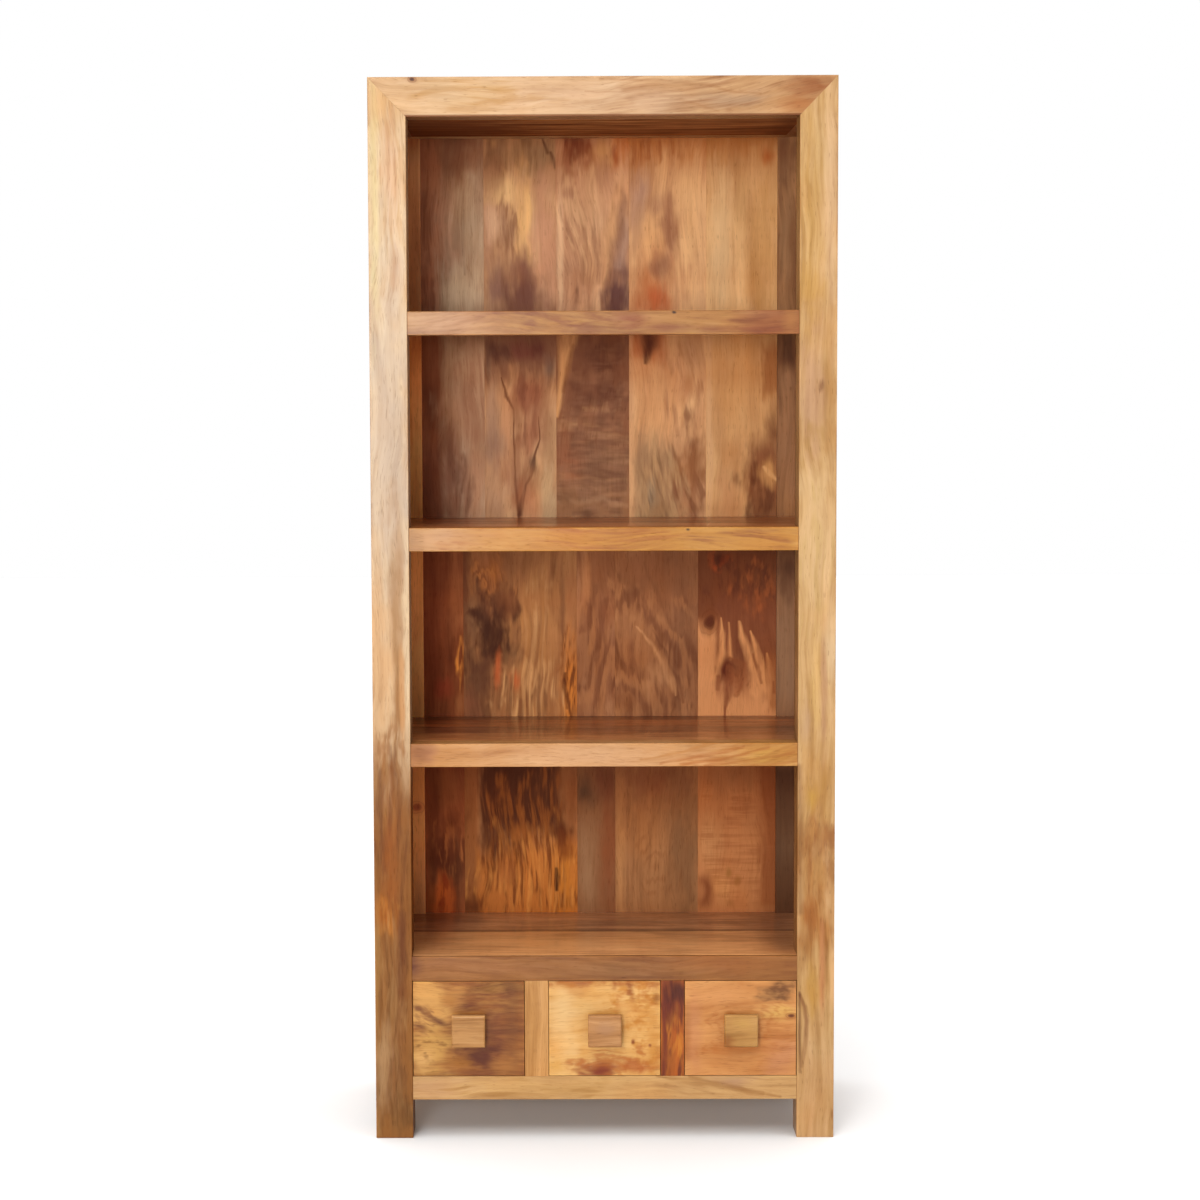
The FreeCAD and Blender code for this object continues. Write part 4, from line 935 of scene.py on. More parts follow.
             N2([(655, -10, 34), (640, 60, 22), (632, 150, 16), (622, 240, 12), (614, 320, 8)], (200, 142, 96), 0.9, 1.2),
             N2([(668, 40, 8), (650, 130, 9), (640, 220, 7)], (128, 78, 50), 0.6, 1.2),
             Patch(567, 497, 7, 11, (116, 74, 50), 0.7, 0.7, 0.5),
         ], **QUIET),
    wood("back_d", "z", fall=UPPER_FALL, rear=BACK_SIDE + (((218, 170, 120), (194, 144, 96), (146, 98, 62)), (1.3, 0.02)), base=((216, 164, 112), (198, 144, 98), (152, 98, 66)),
         lit=((311, (0.888, 0.851, 0.844), 0.0), (335, (1.02, 1.108, 1.184), 0.0)), streak=0.4, fibre=0.5,
         mottle=0.3, box=ub[3], wander=1.2, marks=[
             Z1(850, 1230, -20, 165, (182, 110, 56), 0.85, 60, 90, 0.7),
             F1(900, 1200, 80, 190, (150, 82, 40), 0.6, 110, 16, 0.52),
             P1(1080, 1200, 80, 180, (192, 130, 78), 0.6, 0.8),
             P1(896, 960, 220, 420, (172, 124, 98), 0.7, 0.7),
             P1(905, 960, 240, 470, (164, 122, 100), 0.7, 0.7, 0.4, -0.14),
             P1(925, 1035, 400, 570, (206, 146, 94), 0.8, 0.6),
             P1(1030, 1090, 370, 560, (132, 80, 56), 0.8, 0.6, 0.5, 0.10),
             P1(950, 1040, 330, 390, (160, 108, 76), 0.5, 0.8, 0.5),
             P1(1030, 1075, 360, 500, (150, 96, 66), 0.6, 0.7),
             P1(905, 1075, 600, 830, (166, 94, 56), 0.92, 0.6, 0.35),
             P1(955, 1050, 680, 800, (172, 84, 46), 0.8, 0.7),
             P1(985, 1055, 565, 640, (126, 80, 60), 0.75, 0.7),
             N1([(1062, 560, 5), (1078, 640, 8), (1092, 760, 6)], (176, 118, 80), 0.6, 1.2),
             P1(1085, 1200, 200, 780, (212, 160, 108), 0.6, 0.8),
             F1(1080, 1200, 540, 780, (170, 112, 76), 0.5, 100, 8),
             # bay 2
             Z2(880, 1050, -90, 130, (182, 104, 60), 0.8, 30, 60, 0.5),
             N2([(978, -20, 34), (980, 40, 26), (972, 86, 14), (966, 116, 6)], (84, 42, 28), 0.95, 1.2),
             P2(920, 1110, 130, 400, (206, 152, 102), 0.75, 0.7),
             P2(1060, 1200, -20, 180, (172, 122, 84), 0.7, 0.7),
             P2(1040, 1110, 40, 260, (204, 148, 100), 0.7, 0.7),
             Z2(925, 1095, 420, 820, (152, 118, 86), 0.85, 26, 70, 0.6),
             P2(960, 1010, 600, 720, (132, 116, 96), 0.7, 0.7),
             P2(1070, 1200, 400, 740, (142, 90, 60), 0.85, 0.7),
             F2(930, 1090, 420, 760, (116, 84, 60), 0.5, 95, 12, 0.51, 0.05, 0.28),
             F2(930, 1100, 420, 780, (186, 148, 106), 0.65, 95, 14, 0.53, 0.05, 0.24),
             F2(1060, 1200, 380, 720, (116, 68, 44), 0.6, 80, 11, 0.51, 0.05, 0.30),
             F2(1000, 1200, 80, 480, (220, 170, 122), 0.6, 70, 8, 0.52, 0.06, 0.20),
             F2(1020, 1200, 60, 420, (152, 102, 70), 0.55, 90, 9, 0.54, 0.06, 0.20),
             N2([(903, -20, 9), (903, 400, 9), (905, 780, 9)], (206, 158, 114), 0.7, 0.8),
             Patch(641, 274, 8, 22, (166, 104, 64), 0.7, 0.8, 0.5), Patch(690, 466, 11, 16, (146, 94, 58), 0.7, 0.8, 0.5),
             Patch(687, 388, 10, 14, (172, 114, 72), 0.7, 0.8, 0.5),
             Patch(700, 460, 9, 18, (136, 86, 52), 0.7, 0.8, 0.5), Patch(638, 222, 9, 24, (170, 120, 84), 0.7, 0.8, 0.5),
         ], **QUIET),
    wood("back_e", "z", fall=UPPER_FALL, rear=BACK_SIDE + (((224, 180, 130), (204, 156, 106), (160, 110, 70)), (1.3, 0.02)), base=((220, 172, 122), (202, 150, 102), (168, 114, 74)),
         lit=((311, (0.98, 0.97, 1.043), 0.0), (335, (1.032, 1.089, 1.18), 0.0)), streak=0.35, fibre=0.45,
         mottle=0.25, box=ub[4], marks=[
             Z1(1150, 1540, -20, 140, (184, 118, 62), 0.8, 60, 90, 0.7),
             P1(1428, 1476, 130, 200, (176, 92, 40), 0.85, 0.7, 0.5),
             P1(1370, 1500, 240, 820, (188, 134, 80), 0.7, 0.7),
             P1(1225, 1305, 220, 800, (212, 168, 122), 0.8, 0.6),
             P1(1310, 1370, 200, 500, (200, 152, 100), 0.5, 0.8),
             P1(1380, 1430, 560, 780, (170, 116, 64), 0.5, 0.8),
             # bay 2
             P2(1225, 1500, -40, 430, (200, 146, 92), 0.7, 0.6),
             N2([(1218, -10, 10), (1216, 300, 11), (1222, 560, 9), (1220, 780, 9)], (212, 164, 118), 0.8, 0.8),
             Z2(1436, 1560, 40, 250, (156, 96, 52), 0.8, 22, 40, 0.7),
             P2(1440, 1500, 300, 470, (118, 70, 42), 0.85, 0.6, 0.4),
             P2(1230, 1350, 560, 800, (184, 130, 88), 0.8, 0.6),
             Z2(1372, 1560, 450, 850, (124, 72, 44), 0.9, 40, 70, 0.7),
             P2(1390, 1500, 420, 560, (136, 84, 54), 0.8, 0.6),
             F2(1340, 1490, 480, 780, (84, 42, 26), 0.6, 70, 16, 0.53),
             P2(1425, 1492, 500, 590, (196, 140, 86), 0.9, 0.6, 0.5),
             N2([(1438, 520, 5), (1460, 548, 8), (1484, 570, 6)], (216, 164, 108), 0.7, 1.2),
             P2(1270, 1340, 420, 520, (178, 120, 72), 0.6, 0.8),
         ], **QUIET),
]
dress("back_panel_upper", upper, "x", cuts_u)

# --------------------------------------------------------------------------
# The boarded back, below: bays 3 and 4
# --------------------------------------------------------------------------
cuts_l = (-0.2555, -0.043, 0.0285, 0.184)
edges_l = (None,) + cuts_l + (None,)
lb = [bx("back_panel_lower", "x", edges_l[i], edges_l[i + 1]) for i in range(5)]
lower = [
    wood("back_f", "z", fall=LOWER_FALL, rear=BACK_SIDE + (((184, 130, 92), (156, 102, 68), (108, 64, 40)), (1.3, 0.02)), base=((122, 68, 42), (96, 48, 28), (66, 30, 18)), lit=((716, (0.458, 0.482, 0.619), 0.0), (765, (0.599, 0.657, 0.879), 0.0)), streak=0.45, fibre=0.5,
         mottle=0.3, box=lb[0], marks=[
             P3(60, 150, -20, 700, (82, 36, 20), 0.85, 0.6),
             P3(180, 245, -20, 400, (112, 64, 40), 0.75, 0.6),
             F3(196, 240, 400, 540, (176, 110, 52), 0.85, 120, 14, 0.50),
             P3(196, 240, 560, 690, (124, 74, 46), 0.7, 0.7),
             P3(120, 180, 520, 600, (112, 40, 26), 0.5, 0.8),
             # bay 4
             P4(80, 245, 10, 160, (112, 66, 40), 0.7, 0.7),
             P4(80, 150, 100, 420, (86, 42, 26), 0.8, 0.6),
             P4(160, 250, 240, 580, (56, 28, 18), 0.85, 0.7, 0.4),
             P4(80, 130, 300, 480, (70, 34, 22), 0.75, 0.7),
             P4(110, 190, 300, 440, (72, 32, 20), 0.8, 0.6),
             F4(120, 240, 180, 460, (150, 88, 52), 0.5, 110, 20, 0.57),
             P4(115, 200, 450, 620, (158, 74, 32), 0.85, 0.6, 0.5),
             F4(110, 200, 440, 600, (100, 36, 18), 0.7, 90, 22, 0.53),
             P4(80, 120, 480, 590, (112, 58, 30), 0.6, 0.7),
             Patch(452, 820, 8, 11, (84, 40, 20), 0.8, 0.7, 0.5),
         ], **QUIET),
    wood("back_g", "z", fall=LOWER_FALL, rear=BACK_SIDE + (((206, 158, 108), (178, 128, 84), (128, 82, 52)), (1.3, 0.02)), base=((186, 136, 88), (160, 108, 68), (112, 66, 40)),
         lit=((716, (1.03, 1.14, 1.24), 0.0), (765, (1.195, 1.36, 1.51), 0.0)), streak=0.4, fibre=0.5,
         mottle=0.35, box=lb[1], wander=1.3, marks=[
             P3(236, 400, -20, 200, (146, 88, 50), 0.85, 0.6),
             Arcs(485, 585, 28, 26, (104, 56, 30), 0.4, 5.5, 0.6, 0.9),
             Arcs(486, 583, 26, 24, (190, 122, 62), 0.4, 5.5, 0.6, 0.9, 0.5),
             Z3(200, 262, -60, 380, (104, 58, 36), 0.85, 20, 60, 0.7),
             P3(330, 372, 60, 130, (180, 112, 56), 0.6, 0.7, 0.5),
             P3(420, 560, -20, 120, (140, 92, 58), 0.7, 0.7),
             P3(430, 620, 100, 540, (176, 122, 72), 0.85, 0.6),
             F3(430, 620, 60, 560, (136, 90, 58), 0.6, 100, 5, 0.52),
             F3(480, 620, 100, 520, (200, 154, 104), 0.5, 90, 5, 0.54),
             P3(240, 310, 180, 400, (124, 86, 58), 0.85, 0.6),
             Arcs(487, 640, 30, 42, (92, 54, 34), 0.5, 7.5, 0.6, 0.5),
             P3(300, 430, 180, 300, (106, 66, 46), 0.7, 0.7, 0.5),
             P3(256, 292, 245, 285, (66, 32, 20), 0.9, 0.5, 0.4),
             P3(284, 436, 220, 430, (84, 48, 32), 0.85, 0.8, 0.6),
             P3(296, 420, 260, 415, (66, 36, 22), 0.7, 0.8, 0.8),
             F3(270, 440, 190, 430, (64, 34, 22), 0.7, 90, 26, 0.50, 0.08),
             P3(340, 392, 370, 460, (60, 28, 18), 0.85, 0.6, 0.6),
             Z3(246, 345, 430, 720, (94, 58, 40), 0.85, 26, 50, 0.6),
             P3(200, 300, 560, 700, (150, 92, 62), 0.6, 0.7),
             P3(358, 386, 430, 545, (190, 96, 52), 0.85, 0.6, 0.5, -0.1),
             P3(410, 456, 490, 560, (192, 98, 54), 0.85, 0.6, 0.5),
             P3(400, 460, 400, 500, (146, 104, 68), 0.7, 0.6),
             P3(360, 620, 560, 720, (168, 114, 70), 0.7, 0.7),
             F3(390, 630, 440, 740, (210, 160, 106), 0.8, 110, 6, 0.50, 0.07),
             F3(350, 620, 520, 720, (112, 68, 42), 0.7, 85, 6, 0.54, 0.05),
             P3(620, 642, 80, 420, (104, 62, 40), 0.7, 0.7, 0.4),
             P3(640, 690, 60, 360, (150, 96, 60), 0.7, 0.7),
             P3(626, 700, 380, 720, (204, 124, 52), 0.92, 0.5, 0.4),
             F3(622, 694, 360, 720, (104, 54, 28), 0.85, 120, 20, 0.53, 0.05),
             N3([(640, 500, 5), (636, 560, 6), (644, 640, 5)], (88, 42, 20), 0.7, 1.0),
             # bay 4: dark above, golden below, spotted all over
             Z4(200, 300, -60, 700, (150, 92, 50), 0.9, 16, 30, 0.3),
             Z4(300, 630, -60, 270, (84, 44, 24), 0.95, 20, 60, 0.7),
             P4(300, 420, 200, 420, (92, 50, 28), 0.85, 0.6, 0.5),
             P4(610, 690, -30, 250, (148, 94, 54), 0.85, 0.6),
             Z4(290, 700, 370, 760, (184, 112, 52), 0.95, 20, 60, 0.7),
             Z4(450, 700, 290, 700, (192, 118, 54), 0.9, 30, 60, 0.7),
             P4(590, 684, 320, 640, (202, 126, 46), 0.85, 0.6),
             F4(330, 640, 20, 320, (156, 94, 44), 0.85, 150, 15, 0.53, 0.07),
             F4(300, 500, 240, 420, (66, 32, 18), 0.6, 150, 14, 0.53, 0.07),
             F4(300, 680, 230, 620, (116, 62, 28), 0.85, 150, 15, 0.52, 0.06),
             F4(300, 680, 260, 620, (214, 144, 72), 0.6, 150, 12, 0.54, 0.06),
             P4(590, 672, 232, 300, (80, 38, 20), 0.85, 0.6, 0.5),
             N4([(602, 416, 5), (606, 450, 8), (604, 500, 6)], (46, 20, 12), 0.9, 0.8),
             Patch(506, 868, 8, 14, (176, 108, 56), 0.6, 0.8, 0.6), Patch(458, 820, 8, 10, (88, 42, 20), 0.8, 0.7, 0.6),
             Patch(554, 640, 8, 16, (188, 132, 84), 0.6, 0.8, 0.6), Patch(470, 904, 14, 9, (90, 42, 20), 0.75, 0.8, 0.6),
             Patch(566, 844, 8, 13, (118, 58, 24), 0.7, 0.8, 0.6),
             Patch(508, 605, 8, 12, (134, 82, 50), 0.6, 0.8, 0.6),
         ], **QUIET),
    wood("back_h", "z", fall=LOWER_FALL, rear=BACK_SIDE + (((188, 138, 98), (160, 110, 74), (114, 72, 46)), (1.3, 0.02)), base=((172, 120, 86), (146, 94, 64), (112, 66, 44)),
         lit=((716, (0.943, 0.98, 1.11), 0.0), (765, (1.02, 1.124, 1.45), 0.0)), streak=0.35, fibre=0.45,
         mottle=0.3, box=lb[2], marks=[
             P3(690, 960, -60, 160, (136, 82, 52), 0.8, 0.7),
             P3(700, 740, 20, 220, (184, 122, 80), 0.7, 0.7, 0.4),
             P3(690, 760, 300, 560, (150, 104, 76), 0.7, 0.7),
             Arcs(623, 672, 60, 78, (104, 58, 38), 0.55, 17.0, 0.45, 0.28, 0.20, (625, 722)),
             Arcs(623, 672, 60, 78, (176, 118, 78), 0.50, 17.0, 0.45, 0.28, 0.66, (625, 722)),
             F3(700, 900, 250, 680, (112, 64, 44), 0.4, 90, 6),
             # bay 4
             Z4(640, 900, -20, 750, (134, 92, 66), 0.92, 14, 24, 0.3),
             P4(745, 860, -60, 150, (108, 62, 44), 0.85, 0.6),
             P4(686, 750, 40, 170, (80, 58, 46), 0.8, 0.8),
             P4(690, 765, 250, 620, (150, 112, 86), 0.8, 0.6),
             P4(785, 856, 130, 620, (130, 74, 48), 0.85, 0.6),
             
             Patch(610, 616, 8, 12, (130, 74, 46), 0.6, 0.8, 0.5),
         ], **QUIET),
    wood("back_i", "z", fall=LOWER_FALL, rear=BACK_SIDE + (((196, 146, 102), (168, 118, 78), (122, 80, 50)), (1.3, 0.02)), base=((176, 124, 88), (148, 96, 64), (116, 70, 46)),
         lit=((716, (0.943, 0.98, 1.11), 0.0), (765, (0.962, 1.075, 1.333), 0.0)), streak=0.35, fibre=0.45,
         mottle=0.3, box=lb[3], marks=[
             P3(850, 1180, -60, 180, (132, 80, 52), 0.75, 0.7),
             P3(1030, 1180, 60, 680, (124, 80, 56), 0.8, 0.6),
             Arcs(640, 672, 66, 78, (104, 58, 38), 0.55, 17.0, 0.45, 0.28, 0.20, (625, 722)),
             Arcs(640, 672, 66, 78, (176, 118, 78), 0.50, 17.0, 0.45, 0.28, 0.66, (625, 722)),
             N3([(930, 320, 3), (985, 390, 6), (1030, 460, 9), (1060, 530, 9), (1078, 590, 3)], (196, 140, 96), 0.7, 1.6, 0.75),
             N3([(985, 330, 3), (1040, 420, 5), (1090, 530, 6), (1110, 620, 4)], (106, 62, 42), 0.6, 1.2, 0.6),
             N3([(960, 60, 5), (1000, 160, 8), (1050, 300, 7)], (116, 70, 46), 0.4, 2.0, 0.75),
             F3(880, 1100, 250, 680, (112, 66, 46), 0.4, 90, 6),
             # bay 4
             Z4(800, 1220, -20, 750, (152, 106, 72), 0.92, 14, 24, 0.3),
             P4(860, 1150, -40, 150, (122, 74, 50), 0.8, 0.7),
             P4(846, 880, 130, 640, (174, 124, 82), 0.7, 0.7, 0.3),
             P4(1050, 1180, 60, 700, (122, 86, 60), 0.85, 0.6),
             P4(930, 1050, 120, 500, (164, 114, 76), 0.6, 0.8),
             Arcs(655, 866, 22, 30, (126, 80, 50), 0.4, 9.0, 0.7, 0.4),
             F4(860, 1160, 100, 600, (118, 78, 52), 0.4, 110, 5, 0.54),
             Patch(656, 676, 13, 15, (178, 124, 86), 0.75, 0.8, 0.5), Patch(627, 701, 12, 10, (120, 68, 40), 0.7, 0.8, 0.5),
         ], **QUIET),
    wood("back_j", "z", fall=LOWER_FALL, rear=BACK_SIDE + (((210, 158, 112), (186, 132, 88), (136, 88, 56)), (1.3, 0.02)), base=((196, 138, 94), (166, 108, 70), (124, 70, 44)),
         lit=((716, (0.955, 1.05, 1.163), 0.0), (765, (1.06, 1.038, 1.206), 0.0)), streak=0.35, fibre=0.45,
         mottle=0.3, box=lb[4], wander=1.2, curl=0.3, curl_scale=80.0, marks=[
             Z3(1120, 1560, -90, 300, (108, 60, 36), 0.95, 20, 40, 0.6),
             F3(1190, 1490, 20, 290, (84, 44, 30), 0.6, 70, 26, 0.50, 0.08),
             Z3(1250, 1560, 200, 470, (120, 68, 44), 0.85, 24, 70, 0.7),
                          F3(1200, 1300, 20, 90, (150, 70, 36), 0.8, 70, 50, 0.52),
             F3(1330, 1490, 50, 240, (156, 86, 48), 0.7, 80, 30, 0.53),
             P3(1240, 1290, 20, 70, (72, 32, 22), 0.7, 0.6),
             Z3(1150, 1240, 300, 760, (206, 146, 98), 0.92, 14, 26, 0.4),
             Z3(1150, 1560, 590, 800, (204, 142, 94), 0.92, 20, 40, 0.6),
             N3([(1262, 285, 4), (1266, 340, 8), (1268, 420, 12), (1250, 520, 16)], (212, 150, 98), 0.9, 1.0),
             N3([(1290, 300, 3), (1296, 370, 7), (1302, 440, 10)], (208, 144, 92), 0.85, 1.0),
             N3([(1332, 290, 4), (1346, 350, 11), (1378, 430, 15), (1400, 500, 14), (1400, 580, 20)], (212, 150, 98), 0.92, 1.0),
             N3([(1378, 330, 4), (1402, 400, 12), (1432, 470, 15), (1440, 560, 24)], (210, 148, 96), 0.92, 1.0),
             N3([(1450, 420, 3), (1462, 470, 9), (1472, 540, 14), (1470, 620, 20)], (206, 144, 92), 0.9, 1.0),
             N3([(1390, 420, 5), (1420, 500, 7), (1428, 540, 5)], (134, 78, 48), 0.7, 1.0),
             N3([(1300, 440, 6), (1356, 462, 10), (1352, 520, 10), (1330, 590, 8)], (140, 82, 50), 0.8, 1.2),
             N3([(1478, 540, 5), (1480, 580, 6)], (112, 60, 36), 0.8, 0.8),
             P3(1246, 1340, 440, 545, (98, 46, 28), 0.97, 0.35, 0.3),
             Arcs(730, 671, 16, 16, (78, 34, 22), 0.6, 5.0, 1.0, 0.4),
             N3([(1300, 530, 18), (1296, 590, 13), (1286, 640, 6), (1284, 690, 3)], (124, 68, 42), 0.9, 1.0),
             N3([(1256, 520, 8), (1252, 570, 5)], (120, 62, 38), 0.8, 1.0),
             Knot(709.5, 622.5, 6.0, 8.0, (84, 40, 24), (120, 66, 38), 1.7, 0.8, 0.9, 0.6),
             P3(1206, 1230, 280, 312, (150, 88, 54), 0.8, 0.6),
             P3(1176, 1500, -60, 24, (90, 48, 30), 0.6, 0.8),
             Z3(1450, 1560, 430, 660, (146, 86, 48), 0.75, 18, 40, 0.5),
             # bay 4
             Z4(1120, 1560, -20, 800, (182, 114, 72), 0.94, 14, 24, 0.3),
             P4(1180, 1500, -50, 110, (150, 92, 58), 0.85, 0.7),
             P4(1180, 1270, 180, 440, (192, 130, 86), 0.7, 0.7),
             Z4(1420, 1560, -20, 800, (134, 70, 38), 0.85, 30, 60, 0.5),
             Patch(722, 886, 12, 14, (198, 134, 86), 0.7, 0.7),
             F4(1200, 1480, 130, 600, (150, 86, 52), 0.5, 12, 130, 0.53),
                          P4(1162, 1234, 440, 578, (124, 64, 38), 0.9, 0.4, 0.12),
             P4(1150, 1200, 470, 545, (172, 106, 68), 0.85, 0.5, 0.12),
             P4(1284, 1308, 412, 446, (150, 96, 52), 0.85), P4(1318, 1346, 440, 482, (146, 88, 46), 0.8),
             P4(1286, 1318, 540, 575, (150, 92, 52), 0.6),
             P4(1300, 1500, 560, 600, (176, 112, 72), 0.4, 0.8),
             Patch(736, 676, 8, 11, (156, 94, 58), 0.6, 0.8, 0.6),
         ], **QUIET),
]
dress("back_panel_lower", lower, "x", cuts_l)

# --------------------------------------------------------------------------
# Shelf lips, rails, stiles
# --------------------------------------------------------------------------
dress("shelf_lip_upper", [wood(
    "lip_1", "x", ((226, 178, 130), (206, 154, 106), (164, 110, 66)), lit=(1.93, 0.080), streak=0.5, streak_scale=80,
    fibre=0.5, mottle=0.35, box=bx("shelf_lip_upper"), ends="x",
    rear=("y", -0.1868, -0.1845, ((218, 150, 100), (198, 128, 82), (156, 94, 56)), (1.9, 0.05)), marks=[
        Patch(450, 322, 44, 14, (218, 168, 130), 0.75, 0.7, 0.3),
        Patch(545, 320, 50, 12, (206, 150, 92), 0.8, 0.6, 0.5),
        Flecks(570, 320, 60, 13, (160, 104, 58), 0.7, 110, 26, 0.53, 0.10),
        Flecks(480, 322, 60, 13, (186, 134, 88), 0.5, 110, 16, 0.53, 0.09, -0.15),
        Patch(660, 322, 36, 12, (204, 150, 106), 0.7, 0.7),
        Shade(712, 760, (174, 114, 72), 0.75, "x", 14),
        Flecks(765, 322, 36, 13, (140, 84, 48), 0.45, 130, 12, 0.55, 0.08),
        Patch(675, 312.5, 2.5, 1.5, (80, 40, 22), 0.9, 0.4),
        Patch(628, 318, 14, 9, (168, 108, 68), 0.75, 0.7, 0.5),
        Patch(792, 319, 8, 13, (196, 140, 96), 0.85, 0.6, 0.3), Patch(668, 328, 18, 5, (162, 108, 70), 0.7, 0.7, 0.5),
        Patch(590, 330, 20, 4, (156, 104, 64), 0.6, 0.7, 0.5), Patch(710, 330, 18, 4.5, (162, 108, 68), 0.7, 0.7, 0.5),
    ])])
dress("shelf_lip_middle", [wood(
    "lip_2", "x", ((232, 178, 116), (216, 154, 90), (180, 116, 58)), lit=(1.91, 0.070), tint=(1.03, 1.09, 1.11), streak=0.45, streak_scale=80,
    fibre=0.45, mottle=0.3, box=bx("shelf_lip_middle"), ends="x",
    rear=("y", -0.1868, -0.1845, ((220, 148, 96), (204, 128, 78), (162, 92, 52)), (1.9, 0.05)), marks=[
        Patch(440, 540, 36, 14, (216, 162, 122), 0.75, 0.7, 0.3),
        Patch(590, 540, 120, 13, (218, 150, 74), 0.85, 0.7, 0.4),
        Flecks(600, 540, 110, 13, (186, 118, 58), 0.6, 110, 8, 0.54),
        Patch(740, 541, 50, 12, (212, 152, 94), 0.7, 0.7, 0.4),
        Patch(688, 529.5, 2.2, 1.3, (84, 44, 24), 0.85, 0.4),
        Patch(410, 542, 11, 18, (190, 138, 96), 0.9, 0.7, 0.3),
        Flecks(740, 541, 54, 12, (160, 104, 64), 0.6, 120, 8, 0.55),
    ])])
dress("shelf_lip_lower", [wood(
    "lip_3", "x", ((238, 184, 132), (222, 160, 104), (188, 122, 66)), lit=(1.87, 0.050), tint=(1.0, 1.04, 1.10), streak=0.45, streak_scale=80,
    fibre=0.4, mottle=0.25, box=bx("shelf_lip_lower"), ends="x", marks=[
        Patch(450, 756, 44, 14, (216, 150, 92), 0.75, 0.7, 0.4),
        Patch(425, 752, 10, 9, (206, 142, 102), 0.6, 0.6),
        Patch(414, 754, 14, 16, (172, 112, 66), 0.85, 0.7, 0.4),
        Patch(698, 748, 16, 6, (188, 130, 80), 0.7, 0.7, 0.4),
        Patch(590, 757, 90, 14, (232, 176, 128), 0.85, 0.7, 0.3),
        Patch(768, 756, 34, 13, (220, 160, 84), 0.8, 0.7, 0.3),
        Flecks(740, 756, 60, 12, (194, 128, 60), 0.6, 110, 10, 0.52, 0.08, -0.30),
        Line([(660, 764, 0.8), (700, 758, 1.2), (745, 747, 0.9)], (190, 116, 50), 0.6, 1.2, 0.7),
        Line([(680, 766, 0.8), (722, 760, 1.3), (770, 748, 0.9)], (194, 120, 54), 0.6, 1.2, 0.7),
        Line([(705, 767, 0.8), (745, 762, 1.2), (796, 752, 0.9)], (188, 116, 50), 0.55, 1.2, 0.7),
        Line([(735, 767, 0.8), (770, 764, 1.1), (797, 760, 0.9)], (194, 122, 58), 0.5, 1.2, 0.7),
        Line([(640, 760, 0.7), (672, 754, 1.0), (705, 745, 0.8)], (204, 136, 76), 0.5, 1.2, 0.7),
    ])])
dress("drawer_head_rail", [wood(
    "head_rail", "x", ((188, 130, 84), (168, 112, 68), (130, 80, 46)), lit=(1.81, 0.037), tint=(1.0, 1.02, 1.07), streak=0.3, streak_scale=120,
    fibre=0.5, mottle=0.3, box=bx("drawer_head_rail"), ends="x", marks=[
        Patch(620, 972, 60, 9, (150, 108, 76), 0.6, 0.7, 0.4),
        Patch(470, 966, 50, 9, (182, 124, 82), 0.6, 0.7, 0.4),
        Patch(408, 966, 11, 12, (112, 66, 38), 0.85, 0.7, 0.3),
        Flecks(600, 968, 190, 12, (140, 88, 50), 0.35, 150, 12, 0.54, 0.10),
        Flecks(560, 966, 160, 10, (188, 132, 88), 0.4, 120, 12, 0.53, 0.10),
        Patch(720, 964, 50, 8, (176, 112, 70), 0.5, 0.7),
    ])])
dress("drawer_stile_left", [wood(
    "stile_1", "z", ((222, 168, 112), (208, 152, 96), (176, 120, 70)), lit=(1.76, 0.034), tint=(1.1, 1.14, 1.15), streak=0.4, streak_scale=90,
    fibre=0.45, mottle=0.25, box=bx("drawer_stile_left"), ends="z", marks=[
        Patch(533, 1040, 5, 34, (190, 134, 80), 0.5, 0.6), Patch(541, 1000, 3, 22, (220, 164, 108), 0.6, 0.6),
    ])])
dress("drawer_stile_right", [wood(
    "stile_2", "z", ((200, 118, 50), (174, 96, 38), (124, 60, 24)), lit=(1.75, 0.030), tint=(0.93, 0.93, 0.76), streak=0.5, streak_scale=90,
    fibre=0.6, mottle=0.4, box=bx("drawer_stile_right"), ends="z", marks=[
        Patch(665, 1030, 3, 50, (128, 64, 38), 0.8, 0.5, 0.4),
        Patch(676, 992, 8, 14, (92, 44, 30), 0.88, 0.5, 0.5),
        Patch(676, 1042, 6, 34, (198, 106, 42), 0.9, 0.5, 0.6),
        Flecks(675, 1030, 9, 46, (100, 44, 20), 0.7, 160, 22, 0.55, 0.06),
        Flecks(676, 1040, 7, 34, (226, 142, 66), 0.75, 150, 20, 0.55, 0.06),
        Patch(673, 1012, 7, 14, (122, 60, 30), 0.75, 0.7, 0.5),
    ])])
dress("bottom_front_rail", [wood(
    "bottom_rail", "x", ((224, 176, 116), (206, 156, 102), (170, 120, 74)), lit=(1.71, 0.029), tint=(1.09, 1.15, 1.22), streak=0.4, streak_scale=80,
    fibre=0.5, mottle=0.3, box=bx("bottom_front_rail"), ends="x", marks=[
        Patch(435, 1088, 24, 10, (204, 152, 108), 0.7, 0.7),
        Patch(560, 1088, 90, 11, (212, 160, 98), 0.6, 0.7, 0.4),
        Line([(656, 1074, 1.0), (700, 1083, 1.8), (764, 1093, 1.0)], (158, 106, 62), 0.6, 1.6, 0.7),
        Flecks(700, 1086, 60, 8, (170, 120, 78), 0.5, 110, 12, 0.54, 0.08, 0.2),
        Flecks(440, 1088, 40, 9, (226, 178, 130), 0.5, 110, 12, 0.54, 0.08),
        Line([(690, 1077, 0.8), (735, 1087, 1.2), (780, 1096, 0.8)], (164, 112, 68), 0.6, 1.2),
        Patch(736, 1081, 20, 5, (190, 142, 108), 0.7, 0.6),
        Flecks(520, 1090, 100, 9, (170, 118, 66), 0.6, 110, 8, 0.55),
    ])])

